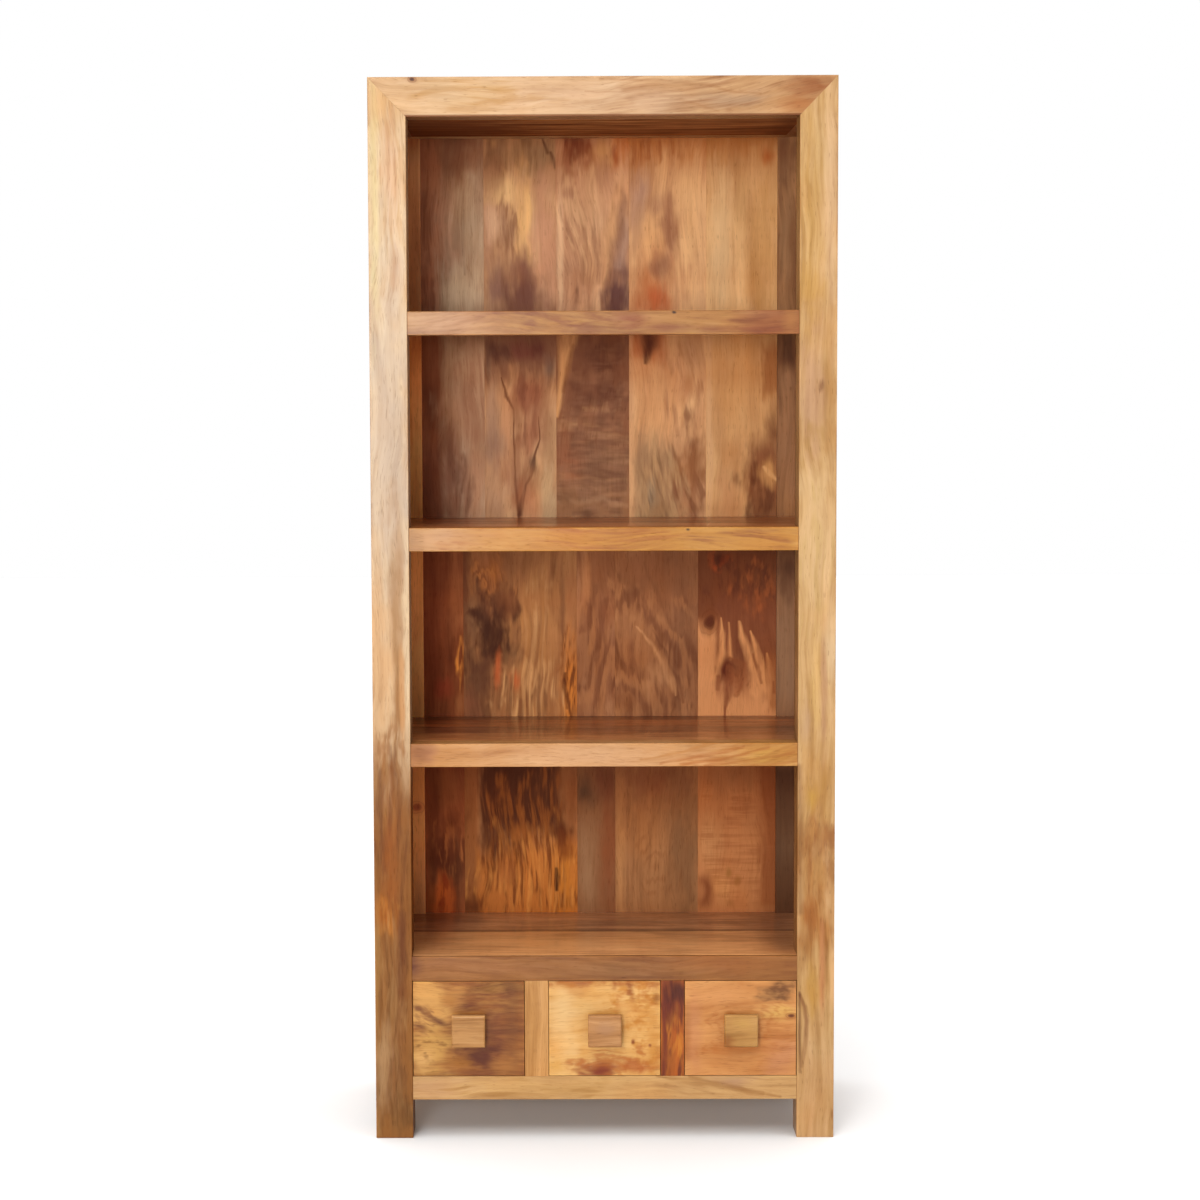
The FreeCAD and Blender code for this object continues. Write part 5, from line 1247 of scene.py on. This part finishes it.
# --------------------------------------------------------------------------
# Drawer fronts and knobs
# --------------------------------------------------------------------------
dress("drawer_front_left", [wood(
    "drawer_1", "x", ((200, 144, 88), (162, 106, 62), (116, 70, 42)), lit=(1.78, 0.036), tint=(1.08, 1.04, 0.96), streak=0.25, streak_scale=80,
    fibre=0.6, mottle=0.35, mottle_scale=18, box=bx("drawer_front_left"), wander=1.2, marks=[
        Patch(426, 1000, 22, 40, (224, 170, 104), 0.9, 0.4, 0.5),
        Patch(430, 1052, 26, 26, (216, 166, 98), 0.85, 0.5, 0.5),
        Patch(455, 996, 10, 14, (204, 148, 90), 0.7, 0.6, 0.5),
        Patch(500, 988, 24, 6, (142, 104, 52), 0.75, 0.6, 0.5),
        Patch(496, 1030, 14, 30, (136, 90, 62), 0.8, 0.6, 0.5),
        Patch(481, 1055, 14, 13, (106, 62, 34), 0.88, 0.6, 0.7),
        Patch(507, 1066, 14, 9, (184, 128, 78), 0.75, 0.7, 0.5),
        Patch(462, 1062, 12, 7, (176, 118, 56), 0.8, 0.6, 0.5),
        Patch(420, 1009, 8, 3.0, (116, 68, 28), 0.8, 0.8, 0.8, 0.5),
        Patch(437, 1021, 9, 3.4, (108, 60, 26), 0.85, 0.8, 0.8, 0.55),
        Patch(422, 1060, 11, 11, (230, 180, 118), 0.75, 0.7, 0.4), Patch(448, 1000, 8, 8, (184, 126, 72), 0.7, 0.7, 0.5),
        Patch(419, 1027, 8, 3.4, (120, 72, 32), 0.8, 0.8, 0.8, 0.5), Patch(434, 1011, 6, 5, (220, 162, 96), 0.6, 0.7, 0.5),
        Patch(460, 1025, 8, 10, (212, 158, 102), 0.6, 0.8, 0.5),
        Flecks(424, 1022, 14, 14, (128, 78, 34), 0.6, 150, 40, 0.54, 0.06, 0.5),
        Flecks(426, 1050, 18, 24, (140, 96, 40), 0.7, 70, 40, 0.57),
        Flecks(490, 1010, 34, 34, (120, 76, 42), 0.45, 150, 28, 0.54, 0.08),
        Flecks(480, 1000, 34, 24, (188, 136, 82), 0.5, 120, 30, 0.54, 0.08),
        Patch(512, 1020, 8, 40, (132, 90, 54), 0.6, 0.7, 0.4),
        Flecks(478, 1054, 24, 14, (112, 66, 36), 0.6, 110, 40, 0.52, 0.07),
    ])])
dress("drawer_front_middle", [wood(
    "drawer_2", "x", ((240, 190, 122), (232, 174, 104), (206, 138, 66)), lit=(1.75, 0.032), tint=(1.08, 1.10, 1.13), streak=0.3, streak_scale=50,
    fibre=0.35, mottle=0.5, mottle_scale=26, box=bx("drawer_front_middle"), wander=1.6, marks=[
        Patch(563, 1020, 14, 34, (244, 198, 136), 0.8, 0.6, 0.4),
        Flecks(636, 1010, 26, 30, (206, 134, 56), 0.75, 55, 45, 0.52, 0.06),
        Flecks(640, 1052, 24, 22, (186, 108, 44), 0.7, 60, 50, 0.55, 0.06),
        Patch(572, 983, 18, 3.5, (148, 72, 36), 0.85, 0.7, 0.8),
        Patch(595, 1070, 19, 7, (150, 74, 34), 0.88, 0.7, 0.9),
        Flecks(600, 1068, 40, 9, (184, 106, 46), 0.65, 80, 50, 0.50, 0.09),
        Flecks(640, 1000, 20, 22, (196, 118, 50), 0.6, 80, 60, 0.52, 0.08),
        Patch(654, 1050, 6, 24, (206, 136, 66), 0.7, 0.7, 0.6),
        Patch(640, 1066, 20, 6, (180, 96, 44), 0.75, 0.6, 0.6),
        Patch(631, 991, 3.0, 10, (158, 90, 42), 0.8, 0.7, 0.8, -0.2),
        Patch(613, 986, 2.6, 5, (172, 104, 52), 0.7, 0.7, 0.8),
        Flecks(600, 984, 56, 4.5, (180, 104, 50), 0.7, 90, 50, 0.50, 0.08),
        Patch(633, 1041, 2.0, 2.4, (140, 72, 32), 0.85, 0.5), Patch(650, 1045, 1.8, 2.0, (150, 80, 38), 0.8, 0.5),
        Patch(656, 998, 4, 5, (156, 98, 48), 0.7, 0.6, 0.5),
        Arcs(604, 1082, 40, 26, (196, 116, 56), 0.5, 6.0, 0.7),
        Patch(556, 1068, 8, 8, (222, 162, 84), 0.6, 0.6),
        Patch(626, 1012, 8, 9, (242, 186, 114), 0.75, 0.7, 0.4),
        Patch(592, 1073, 15, 5, (136, 68, 34), 0.9, 0.6, 0.7),
        Patch(567, 987, 12, 6, (200, 132, 70), 0.65, 0.8, 0.7),
    ])])
dress("drawer_front_right", [wood(
    "drawer_3", "x", ((228, 166, 108), (212, 146, 90), (184, 116, 66)), lit=(1.74, 0.029), tint=(1.06, 1.04, 0.97), streak=0.4, streak_scale=60,
    fibre=0.4, mottle=0.35, mottle_scale=16, box=bx("drawer_front_right"), wander=1.3, marks=[
        Patch(782, 993, 18, 10, (156, 112, 74), 0.8, 0.6, 0.8),
        Flecks(781, 994, 18, 11, (118, 78, 50), 0.75, 110, 45, 0.50, 0.07),
        Patch(778, 1013, 16, 7, (226, 178, 104), 0.8, 0.6, 0.5),
        Knot(791, 1016, 3.5, 1.8, (104, 56, 30), (170, 104, 58), 2.2, 0.5, 0.85),
        Arcs(741, 1031, 36, 34, (190, 116, 64), 0.45, 9.0, 1.0, 0.6),
        Patch(741, 1050, 22, 5, (198, 120, 62), 0.6, 0.8, 0.5),
        Patch(694, 1030, 7, 40, (204, 138, 98), 0.6, 0.6, 0.4),
        Patch(782, 1055, 16, 18, (206, 142, 104), 0.7, 0.6, 0.4),
        Patch(720, 998, 26, 10, (222, 158, 104), 0.6, 0.7, 0.4),
        Flecks(775, 1032, 22, 14, (176, 108, 58), 0.5, 110, 14, 0.55),
        Patch(687, 1036, 4, 20, (176, 106, 60), 0.6, 0.7, 0.4),
    ])])
dress("drawer_knob_left", [wood(
    "knob_1", "x", ((214, 164, 112), (196, 144, 94), (158, 108, 66)), plane=KNOB, lit=(1.78, 0.032),
    tint=(1.12, 1.12, 1.07), streak=0.5,
    streak_scale=120, fibre=0.5, mottle=0.2, box=bx("drawer_knob_left"))])
dress("drawer_knob_middle", [wood(
    "knob_2", "x", ((218, 164, 114), (202, 146, 96), (172, 116, 72)), plane=KNOB, lit=(1.78, 0.032), streak=0.6,
    streak_scale=90, fibre=0.4, mottle=0.3, box=bx("drawer_knob_middle"), marks=[
        Patch(606, 1028, 8, 6, (190, 142, 106), 0.6, 0.6)])])
dress("drawer_knob_right", [wood(
    "knob_3", "x", ((212, 164, 102), (196, 148, 88), (160, 112, 60)), plane=KNOB, lit=(1.78, 0.032),
    tint=(1.1, 1.08, 1.16), streak=0.4,
    streak_scale=90, fibre=0.4, mottle=0.4, box=bx("drawer_knob_right"), marks=[
        Patch(730, 1044, 12, 6, (158, 98, 46), 0.8, 0.7, 0.7, 0.5),
        Patch(742, 1024, 9, 6, (206, 162, 92), 0.6, 0.6)])])

# --------------------------------------------------------------------------
# Horizontal boards: shelf tops, deck, ceiling, top
# --------------------------------------------------------------------------
TOPB = dict(coat=0.45, coat_rough=0.14, rough=0.36)
cuts_s = (-0.045, 0.049, 0.143)
edges_s = (None,) + cuts_s + (None,)


def shelf(node, tones, lit, z):
    mats = [wood("%s_%d" % (node, i), "x", tones[i % len(tones)], plane=("z", z), lit=lit, streak=0.35, streak_scale=70,
                 fibre=0.5, mottle=0.35, box=bx(node, "y", edges_s[i], edges_s[i + 1]), edge_wear_and_highlight=0.15, **TOPB) for i in range(4)]
    dress(node, mats, "y", cuts_s)


shelf("shelf_boards_upper", [((190, 130, 84), (160, 104, 64), (104, 60, 36)), ((170, 112, 70), (138, 86, 52), (90, 50, 30))],
      (0.74, 0.0), 1.44)
shelf("shelf_boards_middle", [((170, 110, 66), (140, 84, 48), (88, 46, 26)), ((156, 98, 58), (124, 74, 42), (80, 42, 24))],
      (0.74, 0.0), 1.0695)
shelf("shelf_boards_lower", [((160, 102, 62), (132, 80, 46), (86, 46, 28)), ((140, 84, 50), (112, 64, 38), (70, 36, 22)),
                             ((164, 96, 54), (128, 72, 40), (80, 40, 24)), ((130, 78, 46), (100, 56, 34), (64, 32, 20))],
      ((0.60, 0.555, 0.56), 0.0), 0.6955)
dress("deck_boards", [
    wood("deck_front", "x", ((200, 136, 86), (176, 116, 70), (132, 80, 46)), plane=("z", 0.3225), lit=(0.65, 0.0), tint=(1.0, 1.15, 1.22), streak=0.28,
         streak_scale=80, fibre=0.5, mottle=0.3, box=bx("deck_boards", "y", None, 0.029), edge_wear_and_highlight=0.2, marks=[
             Line([(640, 932, 1.0), (700, 936, 1.4), (790, 938, 1.0)], (110, 64, 38), 0.4, 1.5, 0.7),
             dict(kind="zone", at=(600, 930.9), r=(260, 0.5), s=(8, 0.5), colour=(62, 34, 20), amount=0.85, ragged=0.2),
             # painted shade: darker at both ends of the deck, beside the posts
             Patch(425, 942, 26, 14, (124, 76, 46), 0.7, 0.7, 0.3), Patch(784, 942, 20, 14, (118, 70, 42), 0.7, 0.7, 0.3),
             Patch(560, 943, 70, 8, (182, 122, 74), 0.6, 0.7, 0.4)], **TOPB),
    wood("deck_rear", "x", ((152, 96, 60), (124, 74, 44), (80, 44, 28)), plane=("z", 0.3225), lit=((0.41, 0.30, 0.25), 0.0), streak=0.35,
         streak_scale=60, fibre=0.5, mottle=0.3, box=bx("deck_boards", "y", 0.029, None), edge_wear_and_highlight=0.2, marks=[
             dict(kind="zone", at=(600, 930.1), r=(260, 0.8), s=(8, 0.6), colour=(62, 34, 20), amount=0.8, ragged=0.2),
             # painted shade: darker at both ends of the deck, beside the posts
             Patch(440, 920, 26, 14, (92, 52, 32), 0.7, 0.7, 0.3), Patch(766, 920, 26, 14, (88, 50, 30), 0.7, 0.7, 0.3)], **TOPB),
], "y", (0.029,))
cuts_c = (-0.035, 0.053)
dress("ceiling_boards", [wood("ceiling_%d" % i, "x", ((124, 72, 42), (98, 52, 28), (60, 28, 14)), plane=("z", 1.769),
                              lit=((0.52, 0.43, 0.46), 0.0), spec=0.0, coat=0.0, streak=0.7, streak_scale=55, fibre=0.5, mottle=0.3, edge_wear_and_highlight=0.1,
                              box=bx("ceiling_boards"), marks=[
                                  # painted shade: darker over the left part and at the right end of the ceiling, beside
                                  # the posts
                                  dict(kind="zone", at=(440, 127), r=(80, 30), s=(60, 12), colour=(74, 34, 18), amount=0.85, ragged=0.4),
                                  dict(kind="zone", at=(790, 127), r=(16, 30), s=(14, 12), colour=(80, 40, 22), amount=0.7, ragged=0.4)])
    for i in range(3)], "y", cuts_c)

# --------------------------------------------------------------------------
# Sides, top and rear: the same wood, quieter
# --------------------------------------------------------------------------
SIDE = (1.25, 0.02)
for side in ("left", "right"):
    n = "side_panel_" + side
    mats = [wood(n + "_%d" % i, "z", b, face="yz", lit=SIDE, plane=("x", 0.39), streak=0.42, fibre=0.55, mottle=0.3,
                 rings=0.35, spacing=0.012, taper=0.05 * t, centre=(c, 0.05), box=bx(n, "y", lo, hi), edge_wear_and_highlight=0.25, tone=0.3)
            for i, (b, t, c, lo, hi) in enumerate([
                (((226, 178, 122), (204, 152, 96), (148, 98, 54)), 1, -0.08, None, -0.031),
                (((206, 152, 96), (180, 124, 72), (128, 80, 42)), -1, 0.01, -0.031, 0.058),
                (((216, 166, 110), (194, 140, 84), (138, 90, 48)), 1, 0.12, 0.058, None)])]
    dress(n, mats, "y", (-0.031, 0.058))
tp = [wood("top_%d" % i, "x", b, plane=("z", 1.836), lit=(2.3, 0.05), streak=0.42, fibre=0.55, mottle=0.28, rings=0.3,
           spacing=0.012, taper=0.04, centre=(0.01 + 0.08 * (i - 1), -0.04), box=bx("top_panel", "y", lo, hi), edge_wear_and_highlight=0.3, tone=0.3)
      for i, (b, lo, hi) in enumerate([(((230, 184, 132), (212, 162, 108), (162, 112, 66)), None, -0.033),
                                       (((216, 164, 108), (194, 140, 84), (142, 92, 50)), -0.033, 0.057),
                                       (((224, 176, 122), (206, 156, 100), (158, 108, 62)), 0.057, None)])]
dress("top_panel", tp, "y", (-0.033, 0.057))


def plain(n, grain, base=((222, 174, 124), (200, 150, 102), (150, 100, 62)), **k):
    k.setdefault("lit", (1.3, 0.02))
    return wood(n, grain, base, box=bx(n), streak=0.5, fibre=0.5, mottle=0.35, **k)


for n, f in (("top_side_rail_left", "yz"), ("top_side_rail_right", "yz"), ("bottom_side_rail_left", "yz"),
             ("bottom_side_rail_right", "yz")):
    dress(n, [plain(n, "y", face=f, ends="y", dims=(("z", 1.7730, 1.7712, (0.45, 0.30, 0.22)),) if "top" in n else ())])
dress("top_rear_rail", [plain("top_rear_rail", "x")])
dress("bottom_rear_rail", [plain("bottom_rear_rail", "x", ends="x")])
BARE = ((226, 184, 136), (208, 162, 112), (168, 120, 78))       # oiled only: inside parts


def bare(name, grain, face, **k):
    return wood(name, grain, BARE, face=face, lit=(1.4, 0.01), streak=0.4, fibre=0.5, mottle=0.3, coat=0.0, rough=0.55,
                edge_wear_and_highlight=0.4, **k)


dress("bottom_panel", [bare("bare_bottom", "x", "xy", box=bx("bottom_panel"))])
dress("drawer_stops", [bare("bare_stops", "x", None)])
dress("frame_dowels", [bare("bare_dowels", "y", "xy")])
flat_y = bare("bare_strips", "y", "xy")
for n in ("bottom_cleats", "drawer_kickers", "drawer_guides"):
    dress(n, [flat_y])
for n in ("drawer_partition_left", "drawer_partition_right"):
    dress(n, [bare(n, "y", "yz", box=bx(n))])
for k, g_, f_ in (("drawer_side_l_", "y", "yz"), ("drawer_side_r_", "y", "yz"), ("drawer_back_", "x", None),
                  ("drawer_bottom_", "x", "xy")):
    shared = bare("bare_" + k, g_, f_, tile=0.237, box=bx(k + "middle"))
    for s_ in ("left", "middle", "right"):
        dress(k + s_, [shared])
for n in NODES:
    if n.startswith(("back_screws", "knob_screw")):
        dress(n, [metal])

# --------------------------------------------------------------------------
# Eased edges
# --------------------------------------------------------------------------
for n in ("front_post_left", "front_post_right"):
    ease(n, 0.0013, "z", 0.2, feet=True)
for n in ("rear_post_left", "rear_post_right"):
    ease(n, 0.0010, "z", 0.2, feet=True)
for n in ("back_stile_left", "back_stile_right", "drawer_stile_left", "drawer_stile_right"):
    ease(n, 0.0008, "z", 0.25)
for n in ("top_front_rail", "top_rear_rail", "shelf_lip_upper", "shelf_lip_middle", "shelf_lip_lower", "bottom_front_rail",
          "bottom_rear_rail", "drawer_head_rail"):
    ease(n, 0.0012 if n != "drawer_head_rail" else 0.0008, "x", 0.2)
for n in ("top_side_rail_left", "top_side_rail_right", "bottom_side_rail_left", "bottom_side_rail_right"):
    ease(n, 0.0010, "y", 0.2)
for s_ in ("left", "middle", "right"):
    ease("drawer_front_" + s_, 0.0008)
    ease("drawer_knob_" + s_, 0.0010)
    for k in ("drawer_side_l_", "drawer_side_r_", "drawer_back_"):
        ease(k + s_, 0.0003)
ease("back_panel_upper", 0.0003, split="x", cuts=cuts_u)
ease("back_panel_lower", 0.0003, split="x", cuts=cuts_l)
for n in ("shelf_boards_upper", "shelf_boards_middle", "shelf_boards_lower"):
    ease(n, 0.0003, split="y", cuts=cuts_s)
ease("deck_boards", 0.0004, split="y", cuts=(0.029,))
ease("ceiling_boards", 0.0003, split="y", cuts=cuts_c)
ease("top_panel", 0.0004, split="y", cuts=(-0.033, 0.057))
for n in ("side_panel_left", "side_panel_right"):
    ease(n, 0.0004, split="y", cuts=(-0.031, 0.058))

# --------------------------------------------------------------------------
# studio
# --------------------------------------------------------------------------
scene = bpy.context.scene
scene.view_settings.view_transform = "Standard"
scene.view_settings.look = "None"
scene.view_settings.exposure = 0.0
scene.view_settings.gamma = 1.0

world = bpy.data.worlds.new("studio")
scene.world = world
world.use_nodes = True
wt = world.node_tree
# a white backdrop behind the furniture, a soft light overhead and a dimmer room around
w_tc = wt.nodes.new("ShaderNodeTexCoord")
w_sep = wt.nodes.new("ShaderNodeSeparateXYZ")
w_back = wt.nodes.new("ShaderNodeMapRange")
w_low = wt.nodes.new("ShaderNodeMapRange")
w_over = wt.nodes.new("ShaderNodeMapRange")
w_sum = wt.nodes.new("ShaderNodeMath")
w_sum.operation = "MULTIPLY_ADD"
ROOM, OVER = 0.40, 2.2
for n_, v_ in ((w_back, (-0.45, 0.20, 0.0, 1.0)), (w_low, (0.16, 0.32, 1.0 - ROOM, 0.0)), (w_over, (0.62, 0.86, ROOM, ROOM + OVER))):
    n_.interpolation_type = "SMOOTHSTEP"
    for i_ in range(4):
        n_.inputs[i_ + 1].default_value = v_[i_]
wt.links.new(w_tc.outputs["Generated"], w_sep.inputs[0])
wt.links.new(w_sep.outputs[1], w_back.inputs[0])
wt.links.new(w_sep.outputs[2], w_low.inputs[0])
wt.links.new(w_sep.outputs[2], w_over.inputs[0])
wt.links.new(w_back.outputs[0], w_sum.inputs[0])
wt.links.new(w_low.outputs[0], w_sum.inputs[1])
wt.links.new(w_over.outputs[0], w_sum.inputs[2])
wt.links.new(w_sum.outputs[0], wt.nodes["Background"].inputs[1])
wt.nodes["Background"].inputs[0].default_value = (1.0, 1.0, 1.0, 1.0)

floor_me = bpy.data.meshes.new("floor")
R = 14.0
floor_me.from_pydata([(-R, -R, 0), (R, -R, 0), (R, R, 0), (-R, R, 0)], [], [(0, 1, 2, 3)])
floor = bpy.data.objects.new("floor", floor_me)
scene.collection.objects.link(floor)
fm = Graph("floor_paint")
fn = fm.noise(fm.p, (3.0, 3.0, 3.0), detail=4.0)
fp = fm.t.nodes.new("ShaderNodeBsdfPrincipled")
f_col = fm.ramp(fn, [(0.3, (0.79, 0.79, 0.79)), (0.7, (0.81, 0.81, 0.81))])
fm.put(f_col, fp.inputs["Base Color"])
fp.inputs["Roughness"].default_value = 0.7
fm.t.links.new(fp.outputs[0], fm.out.inputs[0])
floor_me.materials.append(fm.mat)


def area(name, at, target, size, power, colour=(1, 1, 1)):
    d = bpy.data.lights.new(name, "AREA")
    d.shape = "RECTANGLE"
    d.size, d.size_y = size
    d.energy, d.color = power, colour
    o = bpy.data.objects.new(name, d)
    scene.collection.objects.link(o)
    o.location = at
    o.rotation_mode = "QUATERNION"
    o.rotation_quaternion = (Vector(target) - Vector(at)).to_track_quat("-Z", "Y")
    return o


area("key", (-1.1, -6.2, 1.40), (0, 0, 1.0), (1.7, 1.7), 255)
area("high", (-1.6, -4.8, 4.6), (0, 0, 0.9), (1.7, 1.7), 100)


cam_d = bpy.data.cameras.new("camera")
cam = bpy.data.objects.new("camera", cam_d)
scene.collection.objects.link(cam)
scene.camera = cam
cam_d.sensor_fit = "HORIZONTAL"
cam_d.sensor_width = 36.0
cam_d.lens = F_PX / 1200.0 * 36.0
cam_d.shift_x = (600.0 - CX) / 1200.0
cam_d.clip_start, cam_d.clip_end = 0.05, 60.0
cam.matrix_world = Matrix(((RIGHT.x, UP.x, -FWD.x, EYE.x), (RIGHT.y, UP.y, -FWD.y, EYE.y),
                           (RIGHT.z, UP.z, -FWD.z, EYE.z), (0, 0, 0, 1)))
